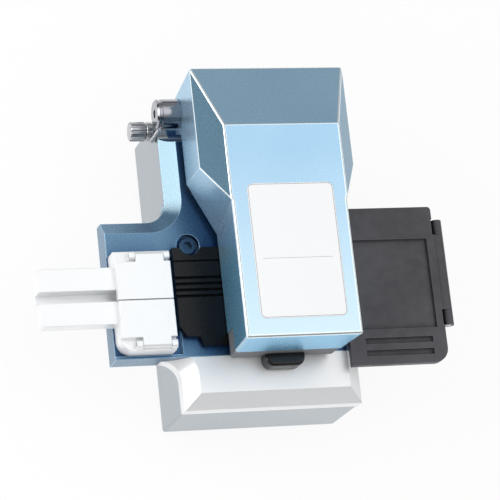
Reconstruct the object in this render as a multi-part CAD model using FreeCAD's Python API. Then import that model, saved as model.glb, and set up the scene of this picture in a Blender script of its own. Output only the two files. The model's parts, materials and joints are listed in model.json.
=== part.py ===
import FreeCAD, Part
import math
import os

# One-step optical fibre cleaver. Millimetres. The origin is the middle of the base pad's underside.
# +X runs along the fibre from the holder to the scrap bin, -Y is the front, +Z is up.

# Main body
body_width = 50.0
body_depth = 83.0
body_wall = 3.0
body_corner = 0.8
pad_thickness = 1.5
pad_inset = 2.5
pad_corner = 4.0
cover_thickness = 2.0
seat_clearance = 0.1
running_fit = 0.05
soft_gap = 0.3

# Top deck and the platform that carries the holder
deck_top = 31.0
deck_thickness = 4.0
deck_chamfer = 3.9
platform_thickness = 8.0
platform_reach = 18.5
platform_setback = 13.9
platform_depth = 38.9
platform_corner = 5.5
channel_depth = 1.0
front_block_thickness = 8.0

# Screws
deck_screw_inset = 4.4
deck_screw_front_reach = 37.3
deck_screw_rear_reach = 14.7
covered_screw_inset = 9.0
covered_screw_reach = 20.2
boss_web = 3.0
deck_screw_radius = 1.25
deck_head_radius = 2.4
deck_head_height = 1.9
counterbore_radius = 3.2
counterbore_depth = 2.2
deck_screw_spare = 1.3
boss_radius = 3.4
boss_clearance = 1.5
boss_overlap = 0.9
cover_screw_length = 5.0
cover_boss_spare = 1.5
cover_head_height = 1.1
small_screw_radius = 1.0
small_head_radius = 1.8
small_head_height = 1.2
head_sink = 0.3
hex_key_size = 1.3
hex_key_depth = 1.0
small_key_size = 0.9
small_key_depth = 0.7
plate_screw_grip = 5.0
plate_screw_spare = 0.5
plate_screw_inset = 3.2
plate_screw_setback = 3.5
plate_post_wall = 1.6
screw_edge = 0.2
socket_width_share = 0.55
socket_depth_share = 0.6

# Edges and cuts
edge_break = 0.3
pin_edge = 0.45
box_corner = 1.5
cut_overrun = 1.0
pick_margin = 0.1

# Lid
lid_gap = 2.5
lid_height = 22.5
lid_centre = 1.8
lid_setback = 12.4
lid_narrowing = 5.6
lid_side_taper = 1.5
lid_rear_inset = 3.3
lid_shoulder_drop = 8.1
lid_notch_reach = 32.1
lid_shoulder_reach = 20.7
lid_ridge_reach = 11.3
lid_overhang = 7.8
lid_wall = 2.2
lid_edge_radius = 0.8
skirt_depth = 5.5
skirt_lean = 2.6
skirt_front_run = 2.0
lid_overrun = 10.0
flare_overrun = 6.0
bumper_height = 7.0
bumper_wrap = 7.0
bumper_inset = 0.15
tab_width = 11.0
tab_height = 5.0
tab_reach = 3.2
tab_corner = 2.4
tab_drop = 1.8
inner_plate_thickness = 2.5
inner_plate_rise = 0.7
inner_plate_reach = 17.7
label_width = 24.0
label_length = 37.0
label_corner = 1.8
label_thickness = 0.12
label_setback = 23.5

# Hinge
hinge_inset = 0.8
hinge_rise = 1.5
pin_radius = 2.0
pin_head_radius = 4.05
pin_head_length = 6.6
pin_end_length = 2.0
knuckle_radius = 3.15
knuckle_length = 9.0
hinge_relief = 7.6
lug_radius = 4.5
hinge_foot_reach = 15.7
hinge_screw_reach = 11.5
hinge_foot_slope = 3.0
hinge_foot_drop = 2.0
hinge_web_length = 4.0
hinge_web_height = 2.5
clip_thickness = 0.8
clip_radius = 3.4
clip_groove_depth = 0.4
clip_mouth_width = 2.2
pin_dimple_radius = 1.2
pin_dimple_depth = 0.6

# Spring post and the brake spring on the left wall
post_drop = 10.1
post_radius = 2.7
post_length = 6.6
post_flutes = 10
flute_radius = 0.45
post_neck = 2.4
post_neck_radius = 1.9
brake_wire = 0.3
brake_turns = 2
brake_groove = 0.5
brake_leg_rise = 1.5
brake_groove_offset = 0.6

# Fibre line, guide and clamps
fibre_setback = 17.9
fibre_rise = 0.1
block_rise = 2.0
guide_overhang = 0.7
guide_rear_reach = 13.6
guide_front_reach = 13.8
groove_pitch = 1.7
groove_width = 0.8
groove_depth = 0.5
groove_count = 4
slot_width = 3.2
slot_centre = 4.0
slot_margin = 0.3
clamp_pad_width = 3.6
clamp_pad_length = 11.0
clamp_pad_proud = 0.2
clamp_pad_gap = 1.4
pad_pocket = 1.0
guide_corner_reach = 5.5
guide_corner_slope = (1.8, 2.8)
guide_corner_edge = (5.5, 2.4)
guide_corner_width = 6.4
guide_line_setback = 4.2
guide_line_width = 0.6
guide_line_depth = 0.8
exit_inset = 7.5
exit_front_reach = 8.8
guide_screw_reach = 8.0
guide_screw_inset = 2.2
exit_screw_reach = 4.5
exit_screw_inset = 2.5

# Blade and carriage
wheel_radius = 10.0
wheel_thickness = 1.0
wheel_bevel = 0.4
wheel_positions = 16
wheel_land_share = 0.3
wheel_tip_share = 0.2
index_ring_share = 0.6
index_dimple_radius = 0.45
axle_radius = 1.5
hub_radius = 3.0
hub_thickness = 0.7
axle_end = 0.6
carriage_travel = 17.0
carriage_rest_reach = 11.7
carriage_length = 20.0
carriage_gap = 0.4
carriage_arm = 3.0
rail_width = 7.0
rail_height = 5.0
rail_length = 62.0
rail_seat = 1.0
rail_rim = 1.0
rail_groove_radius = 0.8
rail_groove_share = 0.6
rail_sink_radius = 1.6
rail_sink_depth = 1.5
saddle_height = 6.5
rod_radius = 1.5
guide_rod_offset = 1.0
guide_rod_drop = 2.6
arm_half_top = 4.0
saddle_lift = 1.0
spring_wire = 0.5
spring_turns = 9
coil_steps = 12
wire_corners = 6

# Anvil
anvil_width = 2.6
anvil_length = 8.0
anvil_height = 1.2
anvil_travel = 0.8
anvil_lift = 0.5
stem_radius = 1.0
housing_radius = 4.0
housing_height = 8.0
anvil_collar_radius = 1.9
anvil_spring_turns = 5
anvil_wire = 0.25
anvil_spring_lift = 1.0
housing_cap = 1.2
housing_wall = 1.2
anvil_collar_height = 1.0

# Magnet latch
magnet_inset = 6.9
magnet_setback = 4.8
magnet_radius = 2.4
magnet_height = 2.0
strike_height = 2.3

# Fibre holder
holder_side_gap = 0.5
holder_guide_gap = 2.2
holder_front_reach = 15.4
holder_rear_reach = 12.0
holder_split_offset = 1.8
holder_base_rise = 5.0
holder_cover_thickness = 2.0
holder_tail_reach = 21.0
holder_tail_width = 15.6
holder_corner = 4.0
holder_groove = 3.2
leaf_gap = 0.3
leaf_pin_radius = 0.6
leaf_pin_inset = 1.5
leaf_ear_length = 1.6
leaf_ear_radius = 1.2
leaf_ear_room = 0.6
holder_groove_overlap = 4.0
fibre_line_top = 1.8
fibre_line_floor = 0.4
fibre_line_drop = 0.1

# Scrap bin
bin_lap = 4.0
bin_reach = 23.9
bin_front_reach = 21.6
bin_rear_reach = 22.7
bin_rise = 4.0
bin_lid_thickness = 2.2
bin_corner_front = 4.0
bin_corner_rear = 1.0
bin_wall = 1.6
bin_box_front_reach = 10.8
bin_box_inset = 2.4
bin_floor_z = 9.0
bin_gap = 0.5
bin_mouth_width = 12.0
panel_front_reach = 11.7
panel_rear_reach = 13.6
panel_inset = 2.3
panel_recess = 0.7
finger_groove_insets = (6.6, 3.2)
finger_groove_start = 4.4
finger_groove_inset = 4.0
finger_groove_width = 1.6
finger_groove_depth = 0.7
bin_rod_radius = 0.9
bin_rod_offset = 1.7
bin_rod_drop = 1.9
bin_lug_front_reach = 11.0
bin_lug_rear_reach = 19.0
bin_lug_length = 4.2
bin_barrel_radius = 1.6
bracket_thickness = 2.0
bracket_height = 12.0
bracket_length = 22.0
bracket_shelf_inset = 4.0
bracket_rib_inset = 8.0
bracket_rib_depth = 5.0
bracket_rib_width = 2.0
bin_box_rear_inset = 2.0
apron_inset = 0.5
apron_margin = 2.0
apron_floor = 0.6
bin_web_overlap = 1.5
bin_web_lift = 0.2
bin_lug_room = 0.4
bin_lug_run = 3.0

# Levels and places worked out from the sizes above
axis_x = FreeCAD.Vector(1, 0, 0)
axis_y = FreeCAD.Vector(0, 1, 0)
axis_z = FreeCAD.Vector(0, 0, 1)
half_width = body_width / 2
half_depth = body_depth / 2
cover_screw_inset = body_wall + boss_radius - boss_overlap
cover_bottom = pad_thickness
body_bottom = cover_bottom + cover_thickness
deck_underside = deck_top - deck_thickness
platform_underside = deck_top - platform_thickness
platform_left = -half_width - platform_reach
slot_left = slot_centre - slot_width / 2
slot_right = slot_centre + slot_width / 2
left_pad_centre = slot_left - clamp_pad_gap - clamp_pad_width / 2
right_pad_centre = slot_right + clamp_pad_gap + clamp_pad_width / 2
rail_bottom = body_bottom + rail_seat
saddle_bottom = rail_bottom + saddle_lift
saddle_top = rail_bottom + rail_height + saddle_height
holder_bottom = deck_top - channel_depth
brake_coil_radius = post_neck_radius + brake_wire + seat_clearance
deck_screw_x = half_width - deck_screw_inset
covered_screw_x = covered_screw_inset - half_width
lid_bottom = deck_top + lid_gap
lid_top = lid_bottom + lid_height
skirt_bottom = lid_bottom - skirt_depth
inner_plate_bottom = lid_bottom + inner_plate_rise
inner_plate_top = inner_plate_bottom + inner_plate_thickness
hinge_y = half_depth - hinge_inset
brake_leg_y = hinge_y - pin_head_radius + brake_groove - brake_wire - running_fit
post_y = brake_leg_y + brake_coil_radius
hinge_z = deck_top + hinge_rise
post_z = hinge_z - post_drop
lid_front = lid_setback - half_depth
lid_half_rear = half_width - lid_rear_inset
pin_left = lid_centre - lid_half_rear - seat_clearance
pin_right = lid_centre + lid_half_rear
lid_half_front = lid_half_rear - lid_narrowing
lid_rear_y = hinge_y + lid_overhang
lid_ridge_y = hinge_y - lid_ridge_reach
lid_shoulder_y = hinge_y - lid_shoulder_reach
lid_notch_y = hinge_y - lid_notch_reach
hinge_foot_y = hinge_y - hinge_foot_reach
hinge_screw_y = hinge_y - hinge_screw_reach
inner_plate_end = hinge_y - inner_plate_reach
platform_front = platform_setback - half_depth
platform_rear = platform_front + platform_depth
fibre_y = lid_front + fibre_setback
block_top = deck_top + block_rise
fibre_height = block_top + fibre_rise
wheel_z = fibre_height - wheel_radius
wheel_half_chord = math.sqrt(wheel_radius ** 2 - (deck_underside - wheel_z) ** 2)
slot_reach = wheel_half_chord + slot_margin - slot_width / 2
label_centre_y = lid_front + label_setback
guide_left = -half_width - guide_overhang
guide_rear_y = fibre_y + guide_rear_reach
guide_front_y = fibre_y - guide_front_reach
exit_right = half_width - exit_inset
exit_front_y = fibre_y - exit_front_reach
carriage_rest_y = fibre_y + carriage_rest_reach
slot_rear_y = carriage_rest_y + slot_reach
slot_front_y = carriage_rest_y - carriage_travel - slot_reach
carriage_width = half_width - body_wall - carriage_gap - slot_right - carriage_arm
rail_centre = slot_right + carriage_arm + carriage_width / 2
magnet_y = lid_front + magnet_setback
magnet_x = lid_centre + lid_half_front - magnet_inset
holder_block_left = platform_left + holder_side_gap
holder_block_right = guide_left - holder_guide_gap
holder_front_y = fibre_y - holder_front_reach
holder_rear_y = fibre_y + holder_rear_reach
holder_split_y = fibre_y - holder_split_offset
holder_base_top = deck_top + holder_base_rise
holder_top = holder_base_top + holder_cover_thickness
holder_tail_left = holder_block_left - holder_tail_reach
bin_left = half_width - bin_lap
bin_right = half_width + bin_reach
bin_rod_x = bin_right + bin_rod_offset
bin_front_y = fibre_y - bin_front_reach
bin_rear_y = fibre_y + bin_rear_reach
bin_top = deck_top + bin_rise
bin_lid_bottom = bin_top - bin_lid_thickness
bin_rod_z = bin_top - bin_rod_drop
bin_box_front_y = fibre_y - bin_box_front_reach
bin_box_right = bin_right - bin_box_inset
panel_front_y = fibre_y - panel_front_reach
panel_rear_y = fibre_y + panel_rear_reach
panel_right = bin_right - panel_inset
finger_groove_left = bin_left + finger_groove_start
finger_groove_right = bin_right - finger_groove_inset
bin_lug_front_y = fibre_y - bin_lug_front_reach
bin_lug_rear_y = fibre_y + bin_lug_rear_reach
covered_screw_y = hinge_y - covered_screw_reach
deck_screw_rows = (hinge_y - deck_screw_front_reach, hinge_y - deck_screw_rear_reach)
finger_groove_rows = [bin_front_y + inset_y for inset_y in finger_groove_insets]
boss_depth = deck_underside - saddle_top - boss_clearance
deck_screw_length = deck_thickness - counterbore_depth + boss_depth - deck_screw_spare


def vector(x, y, z):
    return FreeCAD.Vector(x, y, z)


def box(x0, x1, y0, y1, z0, z1):
    return Part.makeBox(x1 - x0, y1 - y0, z1 - z0, vector(x0, y0, z0))


def rod(radius, length, x, y, z, direction):
    return Part.makeCylinder(radius, length, vector(x, y, z), direction)


def join(shapes):
    merged = shapes[0]
    if len(shapes) > 1:
        merged = merged.fuse(shapes[1:])
    return merged.removeSplitter()


def group(shapes):
    return Part.makeCompound(shapes)


def plate(points, bottom, top):
    """Extrude a plan outline of (x, y) points between two levels."""
    corners = [vector(x, y, bottom) for x, y in points]
    face = Part.Face(Part.makePolygon(corners + corners[:1]))
    return face.extrude(vector(0, 0, top - bottom))


def along_x(points, x0, x1):
    """Extrude a side outline of (y, z) points from x0 to x1."""
    corners = [vector(x0, y, z) for y, z in points]
    face = Part.Face(Part.makePolygon(corners + corners[:1]))
    return face.extrude(vector(x1 - x0, 0, 0))


def along_y(points, y0, y1):
    """Extrude a front outline of (x, z) points from y0 to y1."""
    corners = [vector(x, y0, z) for x, z in points]
    face = Part.Face(Part.makePolygon(corners + corners[:1]))
    return face.extrude(vector(0, y1 - y0, 0))


def inset(points, distance):
    """Move each edge of a closed outline inwards. The points run anticlockwise."""
    moved = []
    count = len(points)
    for index in range(count):
        before = points[index - 1]
        here = points[index]
        after = points[(index + 1) % count]
        first = edge_line(before, here, distance)
        second = edge_line(here, after, distance)
        moved.append(crossing(first, second))
    return moved


def edge_line(start, end, distance):
    """Return the line a*x + b*y = c of an edge moved to its left by a distance."""
    run = end[0] - start[0]
    rise = end[1] - start[1]
    length = math.hypot(run, rise)
    normal = (-rise / length, run / length)
    level = normal[0] * start[0] + normal[1] * start[1] + distance
    return normal[0], normal[1], level


def crossing(first, second):
    determinant = first[0] * second[1] - first[1] * second[0]
    x = (first[2] * second[1] - first[1] * second[2]) / determinant
    y = (first[0] * second[2] - first[2] * second[0]) / determinant
    return x, y


def vertical_edges(shape, test):
    """Edges that run along Z and whose middle passes the test."""
    found = []
    for edge in shape.Edges:
        box_size = edge.BoundBox
        if box_size.XLength < 1e-6 and box_size.YLength < 1e-6 and test(edge.CenterOfMass):
            found.append(edge)
    return found


def flat_edges(shape, level, test):
    """Edges that lie in one horizontal plane and whose middle passes the test."""
    found = []
    for edge in shape.Edges:
        span = edge.BoundBox
        if abs(span.ZMin - level) < 1e-6 and abs(span.ZMax - level) < 1e-6 and test(edge.CenterOfMass):
            found.append(edge)
    return found


def hex_socket(x, y, top, size, depth):
    """A hexagonal key socket to be cut down into a screw head."""
    corners = []
    for step in range(6):
        angle = math.radians(60 * step)
        corners.append((x + size * math.cos(angle), y + size * math.sin(angle)))
    return plate(corners, top - depth, top)


def cap_screw(x, y, seat, head_radius, head_height, shank_radius, length):
    """A socket screw that points down, with the underside of its head on the seat."""
    head = rod(head_radius, head_height, x, y, seat, axis_z)
    rim = flat_edges(head, seat + head_height, lambda middle: True)
    head = head.makeChamfer(screw_edge, rim)
    shank = rod(shank_radius, length, x, y, seat - length, axis_z)
    socket = hex_socket(x, y, seat + head_height, head_radius * socket_width_share,
                        head_height * socket_depth_share)
    return join([head, shank]).cut(socket)


def helix_spring(coil_radius, wire_radius, turns, length, x, y, z, direction, left_hand=False):
    """A coil spring of six-sided wire, bent in straight steps, that runs from a point along a direction."""
    rise = length - 2 * wire_radius
    steps = int(turns * coil_steps)
    sweep = 2 * math.pi * turns
    wire_centre = coil_radius / math.cos(math.pi / coil_steps)
    points = []
    for step in range(steps + 1):
        turn = sweep * step / steps
        for corner in range(wire_corners):
            angle = 2 * math.pi * corner / wire_corners
            reach = wire_centre + wire_radius * math.cos(angle)
            height = wire_radius + rise * step / steps + wire_radius * math.sin(angle)
            side = -1 if left_hand else 1
            points.append((reach * math.cos(turn), side * reach * math.sin(turn), height))
    triangles = []
    for step in range(steps):
        for corner in range(wire_corners):
            near = step * wire_corners + corner
            beside = step * wire_corners + (corner + 1) % wire_corners
            triangles.append((near, beside, beside + wire_corners))
            triangles.append((near, beside + wire_corners, near + wire_corners))
    last = steps * wire_corners
    for corner in range(1, wire_corners - 1):
        triangles.append((0, corner + 1, corner))
        triangles.append((last, last + corner, last + corner + 1))
    faces = []
    for triangle in triangles:
        if left_hand:
            triangle = triangle[::-1]
        loop = [vector(*points[index]) for index in triangle + triangle[:1]]
        faces.append(Part.Face(Part.makePolygon(loop)))
    skin = Part.makeShell(faces)
    skin.sewShape()
    coil = Part.makeSolid(Part.makeShell(skin.Faces))
    if coil.Volume < 0:
        coil = coil.reversed()
    coil.Placement = FreeCAD.Placement(vector(x, y, z), FreeCAD.Rotation(axis_z, direction))
    return coil


# ---- Body -------------------------------------------------------------------------------------------

def hinge_scoop():
    """Round relief across the body that the lid's skirt swings through."""
    return rod(hinge_relief, body_width + 2 * platform_reach, -half_width - platform_reach, hinge_y, hinge_z,
               axis_x)


def deck_screw_places():
    """A front pair, one at the rear right, and one at the rear left that the lid covers."""
    front, rear = deck_screw_rows
    return [(-deck_screw_x, front), (deck_screw_x, front), (deck_screw_x, rear), (covered_screw_x, covered_screw_y)]


def cover_screw_places():
    reach_x = half_width - cover_screw_inset
    reach_y = half_depth - cover_screw_inset
    return [(side * reach_x, end * reach_y) for end in (-1, 1) for side in (-1, 1)]


def body_outline(clearance):
    return [(-half_width + clearance, -half_depth + clearance), (half_width - clearance, -half_depth + clearance),
            (half_width - clearance, half_depth - clearance), (-half_width + clearance, half_depth - clearance)]


def rounded_plate(points, bottom, top, radius):
    solid = plate(points, bottom, top)
    return solid.makeFillet(radius, vertical_edges(solid, lambda middle: True))


def lower_body():
    shell = rounded_plate(body_outline(0), body_bottom, deck_underside, body_corner)
    cavity = plate(body_outline(body_wall), body_bottom, deck_underside)
    shell = shell.cut(cavity)
    bosses = []
    for x, y in deck_screw_places():
        bosses.append(rod(boss_radius, boss_depth, x, y, deck_underside - boss_depth, axis_z))
    bosses.append(box(-half_width, covered_screw_x, covered_screw_y - boss_web / 2, covered_screw_y + boss_web / 2,
                      deck_underside - boss_depth, deck_underside))
    for x, y in cover_screw_places():
        bosses.append(rod(boss_radius, cover_screw_length + cover_boss_spare, x, y, body_bottom, axis_z))
    outside = plate(body_outline(0), body_bottom, deck_underside)
    shell = join([shell] + [boss.common(outside) for boss in bosses])
    root = box(-half_width - 1, -half_width + body_wall, platform_front, platform_rear, platform_underside,
               deck_underside)
    front_rebate = box(-half_width - 1, half_width + 1, -half_depth - 1, platform_front,
                       deck_top - front_block_thickness, deck_underside)
    shell = shell.cut([root, front_rebate, hinge_scoop()])
    holes = []
    for x, y in deck_screw_places():
        holes.append(rod(deck_screw_radius, deck_screw_length, x, y, deck_underside - deck_screw_length
                         + deck_thickness - counterbore_depth, axis_z))
    for x, y in cover_screw_places():
        holes.append(rod(deck_screw_radius, cover_screw_length, x, y, body_bottom, axis_z))
    holes.append(rod(rod_radius, body_depth - body_wall, rod_x(), -half_depth + body_wall / 2, rod_z(), axis_y))
    holes.append(rod(post_neck_radius, body_wall, -half_width, post_y, post_z, axis_x))
    return shell.cut(holes)


def bottom_cover():
    sheet = rounded_plate(body_outline(0), cover_bottom, body_bottom, body_corner)
    seat = box(rail_centre - rail_width / 2 - rail_rim, rail_centre + rail_width / 2 + rail_rim,
               -rail_length / 2 - rail_rim, rail_length / 2 + rail_rim, body_bottom, rail_bottom)
    holes = []
    for x, y in cover_screw_places():
        holes.append(rod(deck_screw_radius, cover_thickness, x, y, cover_bottom, axis_z))
        holes.append(rod(deck_head_radius + seat_clearance, cover_head_height, x, y, cover_bottom, axis_z))
    return join([sheet, seat]).cut(holes)


def base_pad():
    points = [(-half_width + pad_inset, -half_depth + pad_inset), (half_width - pad_inset, -half_depth + pad_inset),
              (half_width - pad_inset, half_depth - pad_inset), (-half_width + pad_inset, half_depth - pad_inset)]
    pad = rounded_plate(points, 0, pad_thickness, pad_corner)
    holes = [rod(deck_head_radius + 0.5, pad_thickness, x, y, 0, axis_z) for x, y in cover_screw_places()]
    return pad.cut(holes)


def cover_screws():
    screws = []
    for x, y in cover_screw_places():
        head = rod(deck_head_radius, cover_head_height, x, y, cover_bottom, axis_z)
        shank = rod(deck_screw_radius, cover_screw_length + cover_thickness - 0.5, x, y, cover_bottom, axis_z)
        socket = hex_socket(x, y, cover_bottom + hex_key_depth * 0.7, hex_key_size, hex_key_depth * 0.7)
        screws.append(join([head, shank]).cut(socket))
    return group(screws)


def deck_blank():
    """T-shaped plate with a round corner where the platform meets the body, chamfered along its top."""
    turn_x = -half_width - platform_corner
    turn_y = platform_rear + platform_corner
    start = vector(turn_x, platform_rear, platform_underside)
    end = vector(-half_width, turn_y, platform_underside)
    swing = platform_corner * math.sqrt(0.5)
    middle = vector(turn_x + swing, turn_y - swing, platform_underside)
    corners = [end, vector(-half_width, half_depth, platform_underside),
               vector(half_width, half_depth, platform_underside),
               vector(half_width, platform_front, platform_underside),
               vector(platform_left, platform_front, platform_underside),
               vector(platform_left, platform_rear, platform_underside), start]
    edges = [Part.makeLine(corners[index], corners[index + 1]) for index in range(len(corners) - 1)]
    edges.append(Part.Arc(start, middle, end).toShape())
    blank = Part.Face(Part.Wire(edges)).extrude(vector(0, 0, platform_thickness))
    rim = flat_edges(blank, deck_top, lambda middle: on_deck_rim(middle))
    return blank.makeChamfer(deck_chamfer, rim)


def on_deck_rim(middle):
    on_front = abs(middle.y - platform_front) < 1e-3
    on_end = abs(middle.x - platform_left) < 1e-3
    on_back = abs(middle.y - half_depth) < 1e-3
    return not (on_front or on_end or on_back)


def blade_slot(bottom, top):
    middle = box(slot_left, slot_right, slot_front_y, slot_rear_y, bottom, top)
    ends = [rod(slot_width / 2, top - bottom, slot_centre, y, bottom, axis_z) for y in (slot_front_y, slot_rear_y)]
    return join([middle] + ends)


def top_deck():
    deck = deck_blank()
    under = box(-half_width + body_wall, half_width + 1, platform_front - 1, half_depth + 1,
                platform_underside - 1, deck_underside)
    behind = box(-half_width, half_width + 1, platform_rear, half_depth + 1, platform_underside - 1,
                 deck_underside)
    channel = box(platform_left - 1, -half_width + seat_clearance, holder_front_y - seat_clearance,
                  holder_rear_y + seat_clearance, holder_bottom, deck_top + 1)
    deck = deck.cut([under, behind, channel, hinge_scoop(), blade_slot(deck_underside, deck_top)])
    holes = []
    for x, y in deck_screw_places():
        holes.append(rod(deck_screw_radius, deck_thickness, x, y, deck_underside, axis_z))
        holes.append(rod(counterbore_radius, counterbore_depth, x, y, deck_top - counterbore_depth, axis_z))
    for x in hinge_screw_places():
        holes.append(rod(small_screw_radius, deck_thickness, x, hinge_screw_y, deck_underside, axis_z))
    for x, y in block_screw_places():
        holes.append(rod(small_screw_radius, deck_thickness, x, y, deck_underside, axis_z))
    holes.append(rod(magnet_radius, pad_pocket, magnet_x, magnet_y, deck_top - pad_pocket, axis_z))
    return deck.cut(holes)


def deck_screws():
    seat = deck_top - counterbore_depth
    screws = [cap_screw(x, y, seat, deck_head_radius, deck_head_height, deck_screw_radius, deck_screw_length)
              for x, y in deck_screw_places()]
    return group(screws)


def front_block():
    """Front part of the body, with the web that rounds the corner under the platform."""
    bottom = deck_top - front_block_thickness
    turn_x = -half_width - platform_corner
    turn_y = platform_front - platform_corner
    swing = platform_corner * math.sqrt(0.5)
    start = vector(-half_width, turn_y, bottom)
    middle = vector(turn_x + swing, turn_y + swing, bottom)
    end = vector(turn_x, platform_front, bottom)
    corners = [end, vector(half_width, platform_front, bottom), vector(half_width, -half_depth, bottom),
               vector(-half_width, -half_depth, bottom), start]
    edges = [Part.makeLine(corners[index], corners[index + 1]) for index in range(len(corners) - 1)]
    edges.append(Part.Arc(start, middle, end).toShape())
    block = Part.Face(Part.Wire(edges)).extrude(vector(0, 0, front_block_thickness))
    rim = flat_edges(block, deck_top, lambda middle: abs(middle.y - platform_front) > 1e-3)
    block = block.makeChamfer(deck_chamfer, rim)
    hollow = box(-half_width + body_wall, half_width - body_wall, -half_depth + body_wall, platform_front + 1,
                 bottom, deck_underside)
    return block.cut(hollow)


# ---- Guide, clamps and strike -----------------------------------------------------------------------

def block_screw_places():
    return [(left_pad_centre - guide_screw_reach, guide_rear_y - guide_screw_inset),
            (right_pad_centre + exit_screw_reach, exit_front_y + exit_screw_inset)]


def pad_block(centre, bottom, top, growth):
    return box(centre - clamp_pad_width / 2 - growth, centre + clamp_pad_width / 2 + growth,
               fibre_y - clamp_pad_length / 2 - growth, fibre_y + clamp_pad_length / 2 + growth, bottom, top)


def fibre_grooves(x0, x1):
    """V grooves along the fibre, the last one on the fibre line itself."""
    grooves = []
    for index in range(groove_count):
        y = fibre_y + index * groove_pitch
        section = [(y - groove_width / 2, block_top + 0.001), (y, block_top - groove_depth),
                   (y + groove_width / 2, block_top + 0.001)]
        grooves.append(along_x(section, x0, x1))
    return grooves


def guide_block():
    """Black guide with fibre grooves; its front left corner is stepped back."""
    right = slot_left - seat_clearance
    slope_x, slope_y = guide_corner_slope
    edge_x, edge_y = guide_corner_edge
    points = [(guide_left, guide_rear_y), (guide_left, guide_front_y + guide_corner_reach),
              (guide_left + slope_x, guide_front_y + slope_y), (guide_left + edge_x, guide_front_y + edge_y),
              (guide_left + guide_corner_width, guide_front_y), (right, guide_front_y), (right, guide_rear_y)]
    block = plate(points, deck_top, block_top)
    line_front = guide_rear_y - guide_line_setback
    step = box(guide_left, right, line_front, line_front + guide_line_width, block_top - guide_line_depth, block_top)
    screw_x, screw_y = block_screw_places()[0]
    head = rod(small_head_radius + seat_clearance, small_head_height, screw_x, screw_y,
               block_top - small_head_height, axis_z)
    shank = rod(small_screw_radius, block_top - deck_top, screw_x, screw_y, deck_top, axis_z)
    access = rod(counterbore_radius, block_top - deck_top, -deck_screw_x, deck_screw_rows[0], deck_top, axis_z)
    pocket = pad_block(left_pad_centre, block_top - pad_pocket, block_top, 0)
    return block.cut([step, head, shank, pocket, access] + fibre_grooves(guide_left, right))


def exit_block():
    left = slot_right + seat_clearance
    block = box(left, exit_right, exit_front_y, guide_rear_y, deck_top, block_top)
    block = block.makeFillet(box_corner, vertical_edges(block, lambda middle: middle.x > exit_right - pick_margin))
    screw_x, screw_y = block_screw_places()[1]
    head = rod(small_head_radius + seat_clearance, small_head_height, screw_x, screw_y,
               block_top - small_head_height, axis_z)
    shank = rod(small_screw_radius, block_top - deck_top, screw_x, screw_y, deck_top, axis_z)
    pocket = pad_block(right_pad_centre, block_top - pad_pocket, block_top, 0)
    return block.cut([head, shank, pocket, fibre_grooves(left, exit_right)[0]])


def block_screws():
    seat = block_top - small_head_height
    screws = [cap_screw(x, y, seat, small_head_radius, small_head_height, small_screw_radius,
                        block_top - deck_top + deck_thickness - small_head_height)
              for x, y in block_screw_places()]
    return group(screws)


def lower_clamp_pads():
    pads = [pad_block(centre, block_top - pad_pocket, block_top + clamp_pad_proud, 0)
            for centre in (left_pad_centre, right_pad_centre)]
    return group(pads)


def strike_post():
    post = rod(magnet_radius, strike_height + pad_pocket, magnet_x, magnet_y, deck_top - pad_pocket, axis_z)
    return post.makeChamfer(edge_break, flat_edges(post, deck_top + strike_height, lambda middle: True))


# ---- Hinge ------------------------------------------------------------------------------------------

def knuckle_spans():
    inner_left = lid_centre - lid_half_rear + lid_wall + soft_gap
    inner_right = lid_centre + lid_half_rear - lid_wall - soft_gap
    return [(inner_left, inner_left + knuckle_length), (inner_right - knuckle_length, inner_right)]


def hinge_screw_places():
    return [(left + right) / 2 for left, right in knuckle_spans()]


def hinge_block():
    """Bridge with two knuckles that reach back over the scooped rear of the deck."""
    spans = knuckle_spans()
    crown = hinge_z + knuckle_radius
    profile = [(hinge_foot_y, deck_top), (hinge_y, deck_top), (hinge_y, crown),
               (hinge_foot_y + hinge_foot_slope, crown), (hinge_foot_y, crown - hinge_foot_drop)]
    pieces = []
    for left, right in spans:
        pieces.append(along_x(profile, left, right))
        pieces.append(rod(knuckle_radius, right - left, left, hinge_y, hinge_z, axis_x))
    pieces.append(box(spans[0][0], spans[1][1], hinge_foot_y, hinge_foot_y + hinge_web_length, deck_top,
                      deck_top + hinge_web_height))
    holes = [rod(pin_radius + running_fit, body_width, -half_width, hinge_y, hinge_z, axis_x)]
    for x in hinge_screw_places():
        holes.append(rod(small_screw_radius, crown - deck_top, x, hinge_screw_y, deck_top, axis_z))
        holes.append(rod(small_head_radius + seat_clearance, small_head_height + head_sink, x, hinge_screw_y,
                         crown - small_head_height - head_sink, axis_z))
    return join(pieces).cut(holes)


def hinge_screws():
    seat = hinge_z + knuckle_radius - small_head_height - edge_break
    return group([cap_screw(x, hinge_screw_y, seat, small_head_radius, small_head_height, small_screw_radius,
                            seat - deck_top + deck_thickness) for x in hinge_screw_places()])


def hinge_pin():
    """Pin with a large bright head on the left and a clip groove on the right."""
    length = pin_right - pin_left + pin_end_length
    shaft = rod(pin_radius, length, pin_left, hinge_y, hinge_z, axis_x)
    head = rod(pin_head_radius, pin_head_length, pin_left - pin_head_length, hinge_y, hinge_z, axis_x)
    rim = [edge for edge in head.Edges if abs(edge.BoundBox.XMax - (pin_left - pin_head_length)) < 1e-6]
    head = head.makeChamfer(pin_edge, rim)
    groove_x = pin_left - pin_head_length + brake_groove_offset
    ring = rod(pin_head_radius + cut_overrun, 2 * brake_groove, groove_x, hinge_y, hinge_z, axis_x)
    ring = ring.cut(rod(pin_head_radius - brake_groove, 2 * brake_groove, groove_x, hinge_y, hinge_z, axis_x))
    dimple = rod(pin_dimple_radius, pin_dimple_depth, pin_left - pin_head_length, hinge_y, hinge_z, axis_x)
    clip_x = pin_right + seat_clearance
    clip_ring = rod(pin_radius + cut_overrun, clip_thickness, clip_x, hinge_y, hinge_z, axis_x)
    clip_ring = clip_ring.cut(rod(pin_radius - clip_groove_depth, clip_thickness, clip_x, hinge_y, hinge_z, axis_x))
    return join([shaft, head]).cut([ring, dimple, clip_ring])


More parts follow.
